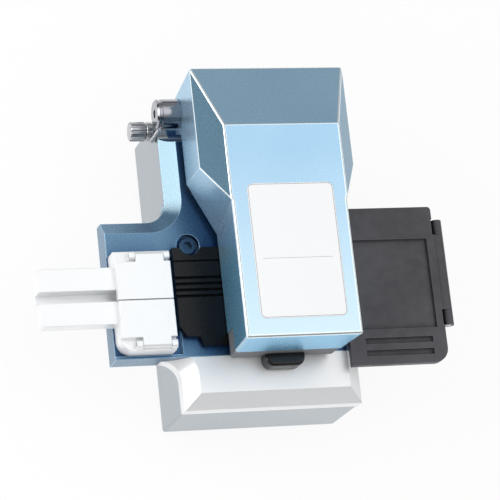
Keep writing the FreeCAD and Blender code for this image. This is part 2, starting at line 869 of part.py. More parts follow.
def pin_clip():
    clip_x = pin_right + seat_clearance
    disc = rod(clip_radius, clip_thickness, clip_x, hinge_y, hinge_z, axis_x)
    bore = rod(pin_radius - clip_groove_depth, clip_thickness, clip_x, hinge_y, hinge_z, axis_x)
    mouth = box(clip_x, clip_x + clip_thickness, hinge_y - clip_mouth_width / 2, hinge_y + clip_mouth_width / 2,
                hinge_z - clip_radius, hinge_z)
    return disc.cut([bore, mouth])


def spring_post():
    """Fluted post screwed into the left wall, with a narrow neck for the spring."""
    neck = rod(post_neck_radius, post_neck + body_wall, -half_width - post_neck, post_y, post_z, axis_x)
    knob = rod(post_radius, post_length - post_neck, -half_width - post_length, post_y, post_z, axis_x)
    rim = [edge for edge in knob.Edges if abs(edge.BoundBox.XMax - (-half_width - post_length)) < 1e-6]
    knob = knob.makeChamfer(edge_break, rim)
    flutes = []
    for index in range(post_flutes):
        angle = 2 * math.pi * index / post_flutes
        flutes.append(rod(flute_radius, post_length - post_neck, -half_width - post_length,
                          post_y + post_radius * math.cos(angle), post_z + post_radius * math.sin(angle), axis_x))
    return join([neck, knob]).cut(flutes)


def brake_spring():
    """Coil on the post's neck whose free leg rises into the pin head's groove."""
    length = post_neck - 2 * seat_clearance
    coil = helix_spring(brake_coil_radius, brake_wire, brake_turns, length, 0, 0, 0, axis_z, True)
    coil.rotate(vector(0, 0, 0), axis_z, -90)
    start = vector(-half_width - post_neck + seat_clearance, post_y, post_z)
    coil.Placement = FreeCAD.Placement(start, FreeCAD.Rotation(axis_z, axis_x)) * coil.Placement
    leg_x = -half_width - seat_clearance - brake_wire
    leg_start = post_z + running_fit
    leg = rod(brake_wire, hinge_z + brake_leg_rise - leg_start, leg_x, brake_leg_y, leg_start, axis_z)
    return group([coil, leg])


# ---- Blade carriage ---------------------------------------------------------------------------------

def rod_x():
    return rail_centre + guide_rod_offset


def rod_z():
    return saddle_top - guide_rod_drop


def carriage_ends():
    return carriage_rest_y - carriage_length / 2, carriage_rest_y + carriage_length / 2


def linear_rail():
    rail = box(rail_centre - rail_width / 2, rail_centre + rail_width / 2, -rail_length / 2, rail_length / 2,
               rail_bottom, rail_bottom + rail_height)
    grooves = []
    for side in (-1, 1):
        grooves.append(rod(rail_groove_radius, rail_length, rail_centre + side * rail_width / 2,
                           -rail_length / 2, rail_bottom + rail_height * rail_groove_share, axis_y))
    holes = []
    for step in (-1, 0, 1):
        holes.append(rod(rail_sink_radius, rail_sink_depth, rail_centre, step * rail_length / 3,
                         rail_bottom + rail_height - rail_sink_depth, axis_z))
    return rail.cut(grooves + holes)


def blade_carriage():
    """Saddle over the rail with an upright arm that holds the blade's axle."""
    front, rear = carriage_ends()
    left = slot_right
    right = rail_centre + carriage_width / 2
    saddle = box(rail_centre - carriage_width / 2, right, front, rear, saddle_bottom, saddle_top)
    arm_top = wheel_z + hub_radius
    arm_points = [(front, saddle_bottom), (rear, saddle_bottom), (rear, saddle_top),
                  (carriage_rest_y + arm_half_top, arm_top), (carriage_rest_y - arm_half_top, arm_top),
                  (front, saddle_top)]
    arm = along_x(arm_points, left + wheel_thickness, rail_centre - carriage_width / 2)
    body = join([saddle, arm])
    rail_gap = box(rail_centre - rail_width / 2 - running_fit, rail_centre + rail_width / 2 + running_fit,
                   front, rear, saddle_bottom, rail_bottom + rail_height + running_fit)
    bore = rod(rod_radius + running_fit, carriage_length, rod_x(), front, rod_z(), axis_y)
    axle_hole = rod(axle_radius, body_width, slot_left, carriage_rest_y, wheel_z, axis_x)
    return body.cut([rail_gap, bore, axle_hole])


def blade_axle():
    start = slot_centre - wheel_thickness / 2 - hub_thickness - axle_end
    axle = rod(axle_radius, rail_centre - carriage_width / 2 - start, start, carriage_rest_y, wheel_z, axis_x)
    return axle


def cutting_wheel():
    """Disc ground to an edge, with a ring of index dimples."""
    half = wheel_thickness / 2
    land = half * wheel_land_share * wheel_tip_share
    outline = [(axle_radius + running_fit, -half), (wheel_radius - wheel_bevel * 2, -half), (wheel_radius, -land),
               (wheel_radius, land), (wheel_radius - wheel_bevel * 2, half), (axle_radius + running_fit, half)]
    corners = [vector(0, radius, offset) for radius, offset in outline]
    face = Part.Face(Part.makePolygon(corners + corners[:1]))
    disc = face.revolve(vector(0, 0, 0), axis_z, 360)
    ring_radius = wheel_radius * index_ring_share
    dimples = []
    for index in range(wheel_positions):
        angle = 2 * math.pi * index / wheel_positions
        dimples.append(rod(index_dimple_radius, wheel_thickness / 3, ring_radius * math.cos(angle),
                           ring_radius * math.sin(angle), half - wheel_thickness / 3, axis_z))
    disc = disc.cut(dimples)
    disc.Placement = FreeCAD.Placement(vector(slot_centre, carriage_rest_y, wheel_z),
                                       FreeCAD.Rotation(axis_z, vector(-1, 0, 0)))
    return disc


def blade_nut():
    start = slot_centre - wheel_thickness / 2 - hub_thickness
    nut = rod(hub_radius, hub_thickness, start, carriage_rest_y, wheel_z, axis_x)
    return nut.cut(rod(axle_radius, hub_thickness, start, carriage_rest_y, wheel_z, axis_x))


def guide_rod():
    return rod(rod_radius, body_depth - body_wall, rod_x(), -half_depth + body_wall / 2, rod_z(), axis_y)


def return_spring():
    front_wall = -half_depth + body_wall
    front, rear = carriage_ends()
    coil_radius = rod_radius + spring_wire + soft_gap
    return helix_spring(coil_radius, spring_wire, spring_turns, front - front_wall, rod_x(), front_wall, rod_z(),
                        axis_y)


# ---- Lid --------------------------------------------------------------------------------------------

def lid_side_outline():
    """Outline seen from the side, anticlockwise in (y, z)."""
    lug_front = hinge_y - lug_radius
    return [(lid_front, lid_bottom), (lug_front - skirt_front_run, lid_bottom), (lug_front, skirt_bottom),
            (lid_rear_y - skirt_lean, skirt_bottom), (lid_rear_y, lid_top - lid_shoulder_drop),
            (lid_ridge_y, lid_top), (lid_front, lid_top)]


def lid_form(distance, open_below):
    """Faceted block of the lid, with every wall moved inwards by a distance."""
    drop = open_below
    side = lid_side_outline()
    side = inset(side, distance)
    side[0] = (side[0][0], side[0][1] - drop)
    side[1] = (side[1][0], side[1][1] - drop)
    side[2] = (side[2][0], side[2][1] - drop)
    side[3] = (side[3][0], side[3][1] - drop)
    shoulder = lid_top - lid_shoulder_drop
    low = skirt_bottom - lid_overrun
    narrow_low = lid_half_front - lid_side_taper * (lid_top - low) / lid_height
    narrow = inset([(-narrow_low, low), (narrow_low, low), (lid_half_front, lid_top), (-lid_half_front, lid_top)],
                   distance)
    wide = inset([(-lid_half_rear, low), (lid_half_rear, low), (lid_half_rear, shoulder),
                  (lid_half_front, lid_top), (-lid_half_front, lid_top), (-lid_half_rear, shoulder)], distance)
    run = (lid_half_rear - lid_half_front) / (lid_shoulder_y - lid_notch_y)
    start_y = lid_notch_y - flare_overrun
    start_half = lid_half_front - flare_overrun * run
    plan = inset([(-start_half, start_y), (start_half, start_y), (lid_half_rear, lid_shoulder_y),
                  (lid_half_rear, lid_rear_y + lid_overrun), (-lid_half_rear, lid_rear_y + lid_overrun),
                  (-lid_half_rear, lid_shoulder_y)], distance)
    front_part = along_y([(x + lid_centre, z) for x, z in narrow], lid_front - lid_overrun, lid_ridge_y)
    rear_part = along_y([(x + lid_centre, z) for x, z in wide], start_y - lid_overrun, lid_rear_y + lid_overrun)
    shifted = [(x + lid_centre, y) for x, y in plan]
    rear_part = rear_part.common(plate(shifted, low - lid_height, lid_top + lid_overrun))
    whole = front_part.fuse(rear_part).removeSplitter()
    sheet = along_x(side, lid_centre - lid_half_rear - lid_overrun, lid_centre + lid_half_rear + lid_overrun)
    return whole.common(sheet).removeSplitter()


def lid_outer():
    """Outside of the lid with every edge softened except its lower rim."""
    solid = lid_form(0, 0)
    edges = [edge for edge in solid.Edges if edge.BoundBox.ZMax > lid_bottom + 0.01]
    return solid.makeFillet(lid_edge_radius, edges)


def bumper_zone(bottom):
    return box(lid_centre - lid_half_rear, lid_centre + lid_half_rear, lid_front - lid_overrun,
               lid_front + bumper_wrap, bottom, lid_bottom + bumper_height)


def lid_shell():
    outer = lid_outer()
    inner = lid_form(lid_wall, skirt_depth + lid_overrun)
    shell = outer.cut(inner)
    pin_hole = rod(pin_radius, body_width, lid_centre - half_width, hinge_y, hinge_z, axis_x)
    posts = []
    for x, y in plate_screw_places():
        posts.append(rod(small_screw_radius + plate_post_wall, lid_top - lid_wall - inner_plate_top, x, y,
                         inner_plate_top, axis_z))
    shell = join([shell] + posts)
    bores = [rod(small_screw_radius, plate_screw_grip, x, y, inner_plate_top, axis_z)
             for x, y in plate_screw_places()]
    return shell.cut([pin_hole, bumper_zone(lid_bottom - lid_wall)] + bores)


def on_front_corner(edge):
    """True for the two upright edges at the front of the lid."""
    span = edge.BoundBox
    return span.YMax < lid_front + bumper_inset + 0.01 and span.ZLength > bumper_height


def front_bumper():
    outer = lid_form(bumper_inset, 0.0)
    outer = outer.makeFillet(lid_edge_radius, [edge for edge in outer.Edges if on_front_corner(edge)])
    inner = lid_form(lid_wall, skirt_depth + lid_overrun)
    return outer.common(bumper_zone(lid_bottom)).cut(inner)


def finger_tab():
    """Rounded lug under the front of the lid for lifting it."""
    left = lid_centre - tab_width / 2
    right = lid_centre + tab_width / 2
    rear = lid_front + lid_wall
    front = lid_front - tab_reach
    bottom = lid_bottom - tab_drop
    tab = box(left, right, front, rear, bottom, bottom + tab_height)
    tab = tab.makeFillet(tab_corner, vertical_edges(tab, lambda middle: middle.y < front + pick_margin))
    rim = flat_edges(tab, bottom + tab_height, lambda middle: middle.y < rear - pick_margin)
    tab = tab.makeFillet(lid_edge_radius, rim)
    return tab.cut(lid_form(bumper_inset, 0.0))


def plate_screw_places():
    reach = lid_half_front - lid_side_taper - lid_wall - plate_screw_inset
    rows = (magnet_y + magnet_radius + small_head_radius + soft_gap, inner_plate_end - plate_screw_setback)
    return [(lid_centre + side * reach, y) for y in rows for side in (-1, 1)]


def lid_inner_plate():
    """Plate that closes the lid from below and carries the clamps, the anvil and the magnet."""
    cavity = lid_form(lid_wall, skirt_depth + lid_overrun)
    zone = box(lid_centre - lid_half_rear, lid_centre + lid_half_rear, lid_front, inner_plate_end,
               inner_plate_bottom, inner_plate_top)
    sheet = cavity.common(zone)
    cuts = [pad_block(left_pad_centre, inner_plate_bottom, inner_plate_bottom + pad_pocket, 0),
            pad_block(right_pad_centre, inner_plate_bottom, inner_plate_bottom + pad_pocket, 0),
            anvil_block(seat_clearance, inner_plate_bottom, anvil_bottom() + anvil_height + anvil_travel
                        + seat_clearance),
            rod(stem_radius + running_fit, inner_plate_thickness, slot_centre, fibre_y, inner_plate_bottom, axis_z),
            rod(magnet_radius, magnet_height, magnet_x, magnet_y, inner_plate_bottom, axis_z)]
    for x, y in plate_screw_places():
        cuts.append(rod(small_screw_radius, inner_plate_thickness, x, y, inner_plate_bottom, axis_z))
        cuts.append(rod(small_head_radius + seat_clearance, small_head_height, x, y, inner_plate_bottom, axis_z))
    return sheet.cut(cuts)


def inner_plate_screws():
    screws = []
    for x, y in plate_screw_places():
        head = rod(small_head_radius, small_head_height, x, y, inner_plate_bottom, axis_z)
        length = inner_plate_thickness + plate_screw_grip - plate_screw_spare
        shank = rod(small_screw_radius, length, x, y, inner_plate_bottom, axis_z)
        socket = hex_socket(x, y, inner_plate_bottom + small_key_depth, small_key_size, small_key_depth)
        screws.append(join([head, shank]).cut(socket))
    return group(screws)


def upper_clamp_pads():
    bottom = block_top + clamp_pad_proud + soft_gap
    pads = [pad_block(centre, bottom, inner_plate_bottom + pad_pocket, 0)
            for centre in (left_pad_centre, right_pad_centre)]
    return group(pads)


def lid_magnet():
    return rod(magnet_radius, magnet_height, magnet_x, magnet_y, inner_plate_bottom, axis_z)


def label_plate():
    x0 = lid_centre + 0.3 - label_width / 2
    y0 = label_centre_y - label_length / 2
    points = [(x0, y0), (x0 + label_width, y0), (x0 + label_width, y0 + label_length), (x0, y0 + label_length)]
    return rounded_plate(points, lid_top, lid_top + label_thickness, label_corner)


# ---- Anvil ------------------------------------------------------------------------------------------

def anvil_bottom():
    return fibre_height + anvil_lift


def anvil_block(growth, bottom, top):
    return box(slot_centre - anvil_width / 2 - growth, slot_centre + anvil_width / 2 + growth,
               fibre_y - anvil_length / 2 - growth, fibre_y + anvil_length / 2 + growth, bottom, top)


def collar_bottom():
    return inner_plate_top + anvil_travel


def anvil_plunger():
    """Pressing block on a stem, with a collar that its spring bears on."""
    bottom = anvil_bottom()
    block = anvil_block(0, bottom, bottom + anvil_height)
    stem = rod(stem_radius, collar_bottom() + anvil_collar_height - bottom, slot_centre, fibre_y, bottom, axis_z)
    collar = rod(anvil_collar_radius, anvil_collar_height, slot_centre, fibre_y, inner_plate_top, axis_z)
    return join([block, stem, collar])


def anvil_housing():
    cup = rod(housing_radius, housing_height, slot_centre, fibre_y, inner_plate_top, axis_z)
    hollow = rod(housing_radius - housing_wall, housing_height - housing_cap, slot_centre, fibre_y, inner_plate_top,
                 axis_z)
    return cup.cut(hollow)


def anvil_spring():
    bottom = inner_plate_top + anvil_spring_lift
    length = housing_height - housing_cap - anvil_spring_lift
    coil_radius = stem_radius + soft_gap + anvil_wire
    return helix_spring(coil_radius, anvil_wire, anvil_spring_turns, length, slot_centre, fibre_y, bottom, axis_z)


# ---- Fibre holder -----------------------------------------------------------------------------------

def holder_outline(bottom, top):
    points = [(holder_block_left, holder_front_y), (holder_block_right, holder_front_y),
              (holder_block_right, holder_rear_y), (holder_block_left, holder_rear_y)]
    block = plate(points, bottom, top)
    corner = vertical_edges(block, lambda middle: middle.x < holder_block_left + pick_margin and middle.y < fibre_y)
    return block.makeFillet(holder_corner, corner)


def leaf_pin_rows():
    return holder_front_y + leaf_pin_inset, holder_rear_y - leaf_pin_inset


def leaf_pin_level():
    return holder_base_top + holder_cover_thickness / 2


def pin_ears():
    """Pairs of ears at the ends of the block that hold the leaf pins."""
    ears = []
    for y in leaf_pin_rows():
        for x0, x1 in ((holder_block_left + holder_corner, holder_block_left + holder_corner + leaf_ear_length),
                       (holder_block_right - leaf_ear_length, holder_block_right)):
            ears.append(box(x0, x1, y - leaf_ear_radius, y + leaf_ear_radius, holder_base_top, leaf_pin_level()))
            ears.append(rod(leaf_ear_radius, x1 - x0, x0, y, leaf_pin_level(), axis_x))
    return ears


def ear_gaps():
    """Clearance that the leaves leave for the ears."""
    reach = leaf_ear_length + seat_clearance
    room = leaf_ear_radius + leaf_ear_room
    gaps = []
    for y in leaf_pin_rows():
        for x0, x1 in ((holder_block_left - cut_overrun, holder_block_left + holder_corner + reach),
                       (holder_block_right - reach, holder_block_right + cut_overrun)):
            gaps.append(box(x0, x1, y - room, y + room, holder_base_top, holder_top))
    return gaps


def holder_body():
    """Slide with a wide block under the covers and a narrow tail to the left."""
    block = holder_outline(holder_bottom, holder_base_top)
    tail = box(holder_tail_left, holder_block_left, fibre_y - holder_tail_width / 2,
               fibre_y + holder_tail_width / 2, deck_top + soft_gap, holder_base_top)
    tail = tail.makeFillet(box_corner, vertical_edges(tail, lambda middle: middle.x < holder_tail_left + pick_margin))
    channel = box(holder_tail_left, holder_block_left + holder_groove_overlap, fibre_y - holder_groove / 2,
                  fibre_y + holder_groove / 2, fibre_height - holder_groove / 2, holder_base_top)
    line_floor = fibre_height - fibre_line_drop
    fine = along_x([(fibre_y - fibre_line_top / 2, holder_base_top), (fibre_y - fibre_line_floor / 2, line_floor),
                    (fibre_y + fibre_line_floor / 2, line_floor), (fibre_y + fibre_line_top / 2, holder_base_top)],
                   holder_block_left, holder_block_right)
    trimmed = [ear.common(holder_outline(holder_base_top, holder_top)) for ear in pin_ears()]
    holes = [rod(leaf_pin_radius, holder_block_right - holder_block_left, holder_block_left, y, leaf_pin_level(),
                 axis_x) for y in leaf_pin_rows()]
    return join([block, tail] + trimmed).cut([channel, fine] + holes)


def holder_leaf(y0, y1, pin_row):
    """Cover leaf with a round hinge edge, a finger dish and a bore for its pin."""
    blank = holder_outline(holder_base_top, holder_top)
    leaf = blank.common(box(holder_block_left - 1, holder_block_right + 1, y0, y1, holder_base_top, holder_top))
    leaf = leaf.cut(ear_gaps())
    bore = rod(leaf_pin_radius + running_fit, holder_block_right - holder_block_left, holder_block_left, pin_row,
               leaf_pin_level(), axis_x)
    return leaf.cut(bore)


def rear_leaf():
    rear_row = leaf_pin_rows()[1]
    leaf = holder_leaf(holder_split_y + leaf_gap / 2, holder_rear_y, rear_row)
    return round_hinge_edge(leaf, holder_rear_y, rear_row)


def front_leaf():
    front_row = leaf_pin_rows()[0]
    leaf = holder_leaf(holder_front_y, holder_split_y - leaf_gap / 2, front_row)
    return round_hinge_edge(leaf, holder_front_y, front_row)


def round_hinge_edge(leaf, outer_y, pin_row):
    """Trim the leaf behind its pin to the pin's own circle so that it can swing."""
    reach = holder_cover_thickness / 2
    side = 1 if outer_y > pin_row else -1
    y0, y1 = sorted((pin_row, outer_y + side))
    behind = box(holder_block_left - 1, holder_block_right + 1, y0, y1, holder_base_top - 1, holder_top + 1)
    barrel = rod(reach, holder_block_right - holder_block_left + 2, holder_block_left - 1, pin_row,
                 leaf_pin_level(), axis_x)
    return leaf.cut(behind.cut(barrel))


def leaf_pins():
    left = holder_block_left + holder_corner
    return group([rod(leaf_pin_radius, holder_block_right - left, left, y, leaf_pin_level(), axis_x)
                  for y in leaf_pin_rows()])


# ---- Scrap bin --------------------------------------------------------------------------------------

def bin_bracket():
    """Angle bracket on the right wall that the bin stands on."""
    middle = (bin_box_front_y + bin_rear_y) / 2
    y0 = middle - bracket_length / 2
    y1 = middle + bracket_length / 2
    foot = bin_floor_z - bracket_thickness
    upright = box(half_width, half_width + bracket_thickness, y0, y1, foot, foot + bracket_height)
    shelf = box(half_width, bin_box_right - bracket_shelf_inset, y0, y1, foot, bin_floor_z)
    rib_front = middle - bracket_rib_width / 2
    rib_rear = middle + bracket_rib_width / 2
    rib_foot = foot - bracket_rib_depth
    rib = along_y([(half_width + bracket_thickness, foot), (half_width + bracket_thickness, rib_foot),
                   (bin_box_right - bracket_rib_inset, foot)], rib_front, rib_rear)
    wall = box(half_width, half_width + bracket_thickness, rib_front, rib_rear, rib_foot, foot)
    return join([upright, shelf, rib, wall])


def bin_box():
    """Tray with an open top, a flange over the deck's edge and lugs for the lid's rod."""
    left = half_width + bracket_thickness + bin_gap
    y0 = bin_box_front_y
    y1 = bin_rear_y - bin_box_rear_inset
    outer = box(left, bin_box_right, y0, y1, bin_floor_z, bin_lid_bottom)
    outer = outer.makeFillet(box_corner, vertical_edges(outer, lambda middle: middle.x > left + pick_margin))
    hollow = box(left + bin_wall, bin_box_right - bin_wall, y0 + bin_wall, y1 - bin_wall, bin_floor_z + bin_wall,
                 bin_lid_bottom)
    shelf_z = deck_top + soft_gap
    apron_half = bin_mouth_width / 2 + apron_margin
    apron = box(bin_left + apron_inset, left, fibre_y - apron_half, fibre_y + apron_half, shelf_z, bin_lid_bottom)
    mouth = box(bin_left, left + bin_wall, fibre_y - bin_mouth_width / 2, fibre_y + bin_mouth_width / 2,
                shelf_z + apron_floor, bin_lid_bottom)
    lugs = []
    for y in (bin_lug_front_y, bin_lug_rear_y - bin_lug_length):
        lugs.append(box(bin_box_right, bin_rod_x, y, y + bin_lug_length, bin_rod_z - bin_barrel_radius,
                        bin_lid_bottom - seat_clearance))
        lugs.append(rod(bin_barrel_radius, bin_lug_length, bin_rod_x, y, bin_rod_z, axis_y))
    rod_bore = rod(bin_rod_radius, bin_lug_rear_y - bin_lug_front_y, bin_rod_x, bin_lug_front_y, bin_rod_z, axis_y)
    return join([outer, apron] + lugs).cut([hollow, mouth, rod_bore])


def bin_lid():
    """Lid with a sunk panel and two finger grooves; its barrel turns on the rod between the lugs."""
    points = [(bin_left, bin_front_y), (bin_right, bin_front_y), (bin_right, bin_rear_y), (bin_left, bin_rear_y)]
    sheet = plate(points, bin_lid_bottom, bin_top)
    sheet = sheet.makeFillet(bin_corner_front, vertical_edges(
        sheet, lambda middle: middle.x > bin_right - pick_margin and middle.y < bin_front_y + pick_margin))
    sheet = sheet.makeFillet(bin_corner_rear, vertical_edges(
        sheet, lambda middle: middle.x > bin_right - pick_margin and middle.y > bin_rear_y - pick_margin))
    panel = box(bin_left - cut_overrun, panel_right, panel_front_y, panel_rear_y, bin_top - panel_recess, bin_top)
    grooves = []
    for y in finger_groove_rows:
        radius = finger_groove_width / 2
        grooves.append(box(finger_groove_left, finger_groove_right, y - radius, y + radius,
                           bin_top - finger_groove_depth, bin_top))
    lug_gaps = []
    for y in (bin_lug_front_y, bin_lug_rear_y - bin_lug_length):
        lug_gaps.append(box(bin_rod_x - bin_barrel_radius - bin_lug_room, bin_rod_x + bin_lug_run, y - seat_clearance,
                            y + bin_lug_length + seat_clearance, bin_lid_bottom, bin_top))
    barrel_y0 = bin_lug_front_y + bin_lug_length + seat_clearance
    barrel_y1 = bin_lug_rear_y - bin_lug_length - seat_clearance
    barrel = rod(bin_barrel_radius, barrel_y1 - barrel_y0, bin_rod_x, barrel_y0, bin_rod_z, axis_y)
    web = box(bin_right - bin_web_overlap, bin_rod_x, barrel_y0, barrel_y1, bin_rod_z + bin_web_lift,
              bin_rod_z + bin_barrel_radius)
    bore = rod(bin_rod_radius + running_fit, barrel_y1 - barrel_y0, bin_rod_x, barrel_y0, bin_rod_z, axis_y)
    return join([sheet, web, barrel]).cut([panel, bore] + grooves + lug_gaps)


def bin_rod():
    return rod(bin_rod_radius, bin_lug_rear_y - bin_lug_front_y, bin_rod_x, bin_lug_front_y, bin_rod_z, axis_y)


builders = {
    "base_pad": base_pad,
    "bottom_cover": bottom_cover,
    "cover_screws": cover_screws,
    "lower_body": lower_body,
    "front_block": front_block,
    "top_deck": top_deck,
    "deck_screws": deck_screws,
    "guide_block": guide_block,
    "exit_block": exit_block,
    "block_screws": block_screws,
    "lower_clamp_pads": lower_clamp_pads,
    "strike_post": strike_post,
    "hinge_block": hinge_block,
    "hinge_screws": hinge_screws,
    "hinge_pin": hinge_pin,
    "pin_clip": pin_clip,
    "spring_post": spring_post,
    "brake_spring": brake_spring,
    "linear_rail": linear_rail,
    "guide_rod": guide_rod,
    "blade_carriage": blade_carriage,
    "blade_axle": blade_axle,
    "cutting_wheel": cutting_wheel,
    "blade_nut": blade_nut,
    "return_spring": return_spring,
    "lid_shell": lid_shell,
    "front_bumper": front_bumper,
    "finger_tab": finger_tab,
    "lid_inner_plate": lid_inner_plate,
    "inner_plate_screws": inner_plate_screws,
    "upper_clamp_pads": upper_clamp_pads,
    "lid_magnet": lid_magnet,
    "label_plate": label_plate,
    "anvil_plunger": anvil_plunger,
    "anvil_housing": anvil_housing,
    "anvil_spring": anvil_spring,
    "holder_body": holder_body,
    "rear_leaf": rear_leaf,
    "front_leaf": front_leaf,
    "leaf_pins": leaf_pins,
    "bin_bracket": bin_bracket,
    "bin_box": bin_box,
    "bin_lid": bin_lid,
    "bin_rod": bin_rod,
}

os.makedirs("parts", exist_ok=True)
for name, builder in builders.items():
    shape = builder()
    shape.exportStep("parts/" + name + ".step")
    print(name, len(shape.Solids), round(shape.Volume, 1), shape.isValid())
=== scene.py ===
import bpy
import bmesh
import json
import math
from mathutils import Matrix, Vector


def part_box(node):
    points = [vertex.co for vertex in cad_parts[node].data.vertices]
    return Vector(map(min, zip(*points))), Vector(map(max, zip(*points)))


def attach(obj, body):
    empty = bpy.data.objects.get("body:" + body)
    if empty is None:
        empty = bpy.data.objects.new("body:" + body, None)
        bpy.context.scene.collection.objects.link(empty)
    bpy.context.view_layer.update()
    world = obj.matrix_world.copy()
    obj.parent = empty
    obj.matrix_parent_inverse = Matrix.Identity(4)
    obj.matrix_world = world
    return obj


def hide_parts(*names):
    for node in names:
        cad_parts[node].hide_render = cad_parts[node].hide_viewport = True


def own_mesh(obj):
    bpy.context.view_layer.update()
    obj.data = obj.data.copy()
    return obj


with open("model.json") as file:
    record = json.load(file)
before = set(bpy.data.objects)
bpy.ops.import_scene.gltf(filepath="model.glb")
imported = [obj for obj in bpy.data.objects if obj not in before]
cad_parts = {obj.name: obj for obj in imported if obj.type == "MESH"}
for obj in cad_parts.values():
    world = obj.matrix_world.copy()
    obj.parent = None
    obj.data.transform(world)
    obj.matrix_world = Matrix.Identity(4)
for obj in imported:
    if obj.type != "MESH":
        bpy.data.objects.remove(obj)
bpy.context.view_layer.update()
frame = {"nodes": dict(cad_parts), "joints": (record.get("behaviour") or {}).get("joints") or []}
print("frame loaded")

mm = 0.001


# small helpers for meshes and nodes

def newPiece(name, mesh, body, material):
    obj = bpy.data.objects.new(name, mesh)
    bpy.context.scene.collection.objects.link(obj)
    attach(obj, body)
    obj.data.materials.clear()
    obj.data.materials.append(material)
    return obj


def nodeCorners(node):
    low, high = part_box(node)
    return Vector(low), Vector(high)


def shadeSmooth(mesh, angle):
    for polygon in mesh.polygons:
        polygon.use_smooth = True
    mesh.set_sharp_from_angle(angle=math.radians(angle))


sheetSizes = {
    "samples": 6,              # rays of each Bevel and Ambient Occlusion node
    "brokenEdge": 0.2 * mm,    # how far every edge is rounded for the eye
    "mostNoise": (0.3, 0.7),   # nearly all of a noise lies between these
    "mixSockets": (0, 6, 7),   # factor and both colours of a Mix node
    "mixResult": 2,
}


class NodeSheet:
    # a material's node tree with short calls for the nodes that every finish uses

    def __init__(self, name):
        self.material = bpy.data.materials.new(name)
        self.material.use_nodes = True
        self.tree = self.material.node_tree
        self.tree.nodes.clear()
        self.output = self.tree.nodes.new("ShaderNodeOutputMaterial")
        self.shader = self.tree.nodes.new("ShaderNodeBsdfPrincipled")
        self.link(self.shader.outputs["BSDF"], self.output.inputs["Surface"])
        self.coords = self.tree.nodes.new("ShaderNodeTexCoord")

    def link(self, source, target):
        self.tree.links.new(source, target)

    def give(self, socket, value):
        # a node's input takes another node's output, a number or a colour
        if isinstance(value, bpy.types.NodeSocket):
            self.link(value, socket)
        elif isinstance(value, (int, float)):
            socket.default_value = value
        else:
            socket.default_value = (*value, 1.0)

    def put(self, name, value):
        self.give(self.shader.inputs[name], value)

    def mapping(self, scale):
        node = self.tree.nodes.new("ShaderNodeMapping")
        node.inputs["Scale"].default_value = scale
        self.link(self.coords.outputs["Object"], node.inputs["Vector"])
        return node.outputs["Vector"]

    def noise(self, scale, detail, roughness=0.55, vector=None):
        node = self.tree.nodes.new("ShaderNodeTexNoise")
        node.inputs["Scale"].default_value = scale
        node.inputs["Detail"].default_value = detail
        node.inputs["Roughness"].default_value = roughness
        self.link(vector or self.coords.outputs["Object"], node.inputs["Vector"])
        return node.outputs["Fac"]

    def cells(self, scale, randomness=1.0):
        node = self.tree.nodes.new("ShaderNodeTexVoronoi")
        node.inputs["Scale"].default_value = scale
        node.inputs["Randomness"].default_value = randomness
        self.link(self.coords.outputs["Object"], node.inputs["Vector"])
        return node.outputs["Distance"]

    def remap(self, value, low, high, fromLow, fromHigh):
        node = self.tree.nodes.new("ShaderNodeMapRange")
        node.inputs["From Min"].default_value = fromLow
        node.inputs["From Max"].default_value = fromHigh
        node.inputs["To Min"].default_value = low
        node.inputs["To Max"].default_value = high
        self.link(value, node.inputs["Value"])
        return node.outputs["Result"]

    def spread(self, noise, low=0.0, high=1.0):
        # a noise drawn out to the whole way from low to high
        return self.remap(noise, low, high, *sheetSizes["mostNoise"])

    def mixColour(self, factor, first, second, mode="MIX"):
        node = self.tree.nodes.new("ShaderNodeMix")
        node.data_type = "RGBA"
        node.blend_type = mode
        for socket, value in zip(sheetSizes["mixSockets"], (factor, first, second)):
            self.give(node.inputs[socket], value)
        return node.outputs[sheetSizes["mixResult"]]

    def math(self, operation, first, second=0.0):
        node = self.tree.nodes.new("ShaderNodeMath")
        node.operation = operation
        self.give(node.inputs[0], first)
        self.give(node.inputs[1], second)
        return node.outputs[0]

    def near(self, value, target, reach):
        # 1 where the value is within reach of the target
        result = self.math("COMPARE", value, target)
        result.node.inputs[2].default_value = reach
        return result

    def dot(self, vector, direction):
        node = self.tree.nodes.new("ShaderNodeVectorMath")
        node.operation = "DOT_PRODUCT"
        self.link(vector, node.inputs[0])
        if isinstance(direction, bpy.types.NodeSocket):
            self.link(direction, node.inputs[1])
        else:
            node.inputs[1].default_value = direction
        return node.outputs["Value"]

    def roundedNormal(self, radius):
        # normals that turn over every edge as if it were broken with a file
        node = self.tree.nodes.new("ShaderNodeBevel")
        node.samples = sheetSizes["samples"]
        node.inputs["Radius"].default_value = radius
        return node.outputs["Normal"]

    def facing(self, direction, start=0.93, full=0.98):
        # 1 on the faces that point that way in the piece's own space
        return self.remap(self.dot(self.coords.outputs["Normal"], direction), 0.0, 1.0, start, full)

    def parts(self, socket):
        # X, Y and Z of one of the coordinate outputs
        node = self.tree.nodes.new("ShaderNodeSeparateXYZ")
        self.link(self.coords.outputs[socket], node.inputs["Vector"])
        return node.outputs

    def shelter(self, reach):
        # 1 in the open and towards 0 in narrow corners and grooves, where the finishes paint shade with it
        node = self.tree.nodes.new("ShaderNodeAmbientOcclusion")
        node.samples = sheetSizes["samples"]
        node.inputs["Distance"].default_value = reach
        return node.outputs["AO"]

    def edgeMask(self, radius, start=0.985, full=0.93):
        # 1 along the edges and 0 on the faces, from how far the rounded normal turns
        geometry = self.tree.nodes.new("ShaderNodeNewGeometry")
        turned = self.dot(self.roundedNormal(radius), geometry.outputs["True Normal"])
        return self.remap(turned, 0.0, 1.0, start, full)

    def facetMask(self, facets, flat=0.9996, turned=0.996):
        # 0 on the flat facets and 1 on the rounded edges between them, in the piece's own space
        normal = self.coords.outputs["Normal"]
        closest = self.dot(normal, facets[0])
        for facet in facets[1:]:
            closest = self.math("MAXIMUM", closest, self.dot(normal, facet))
        return self.remap(closest, 0.0, 1.0, flat, turned)

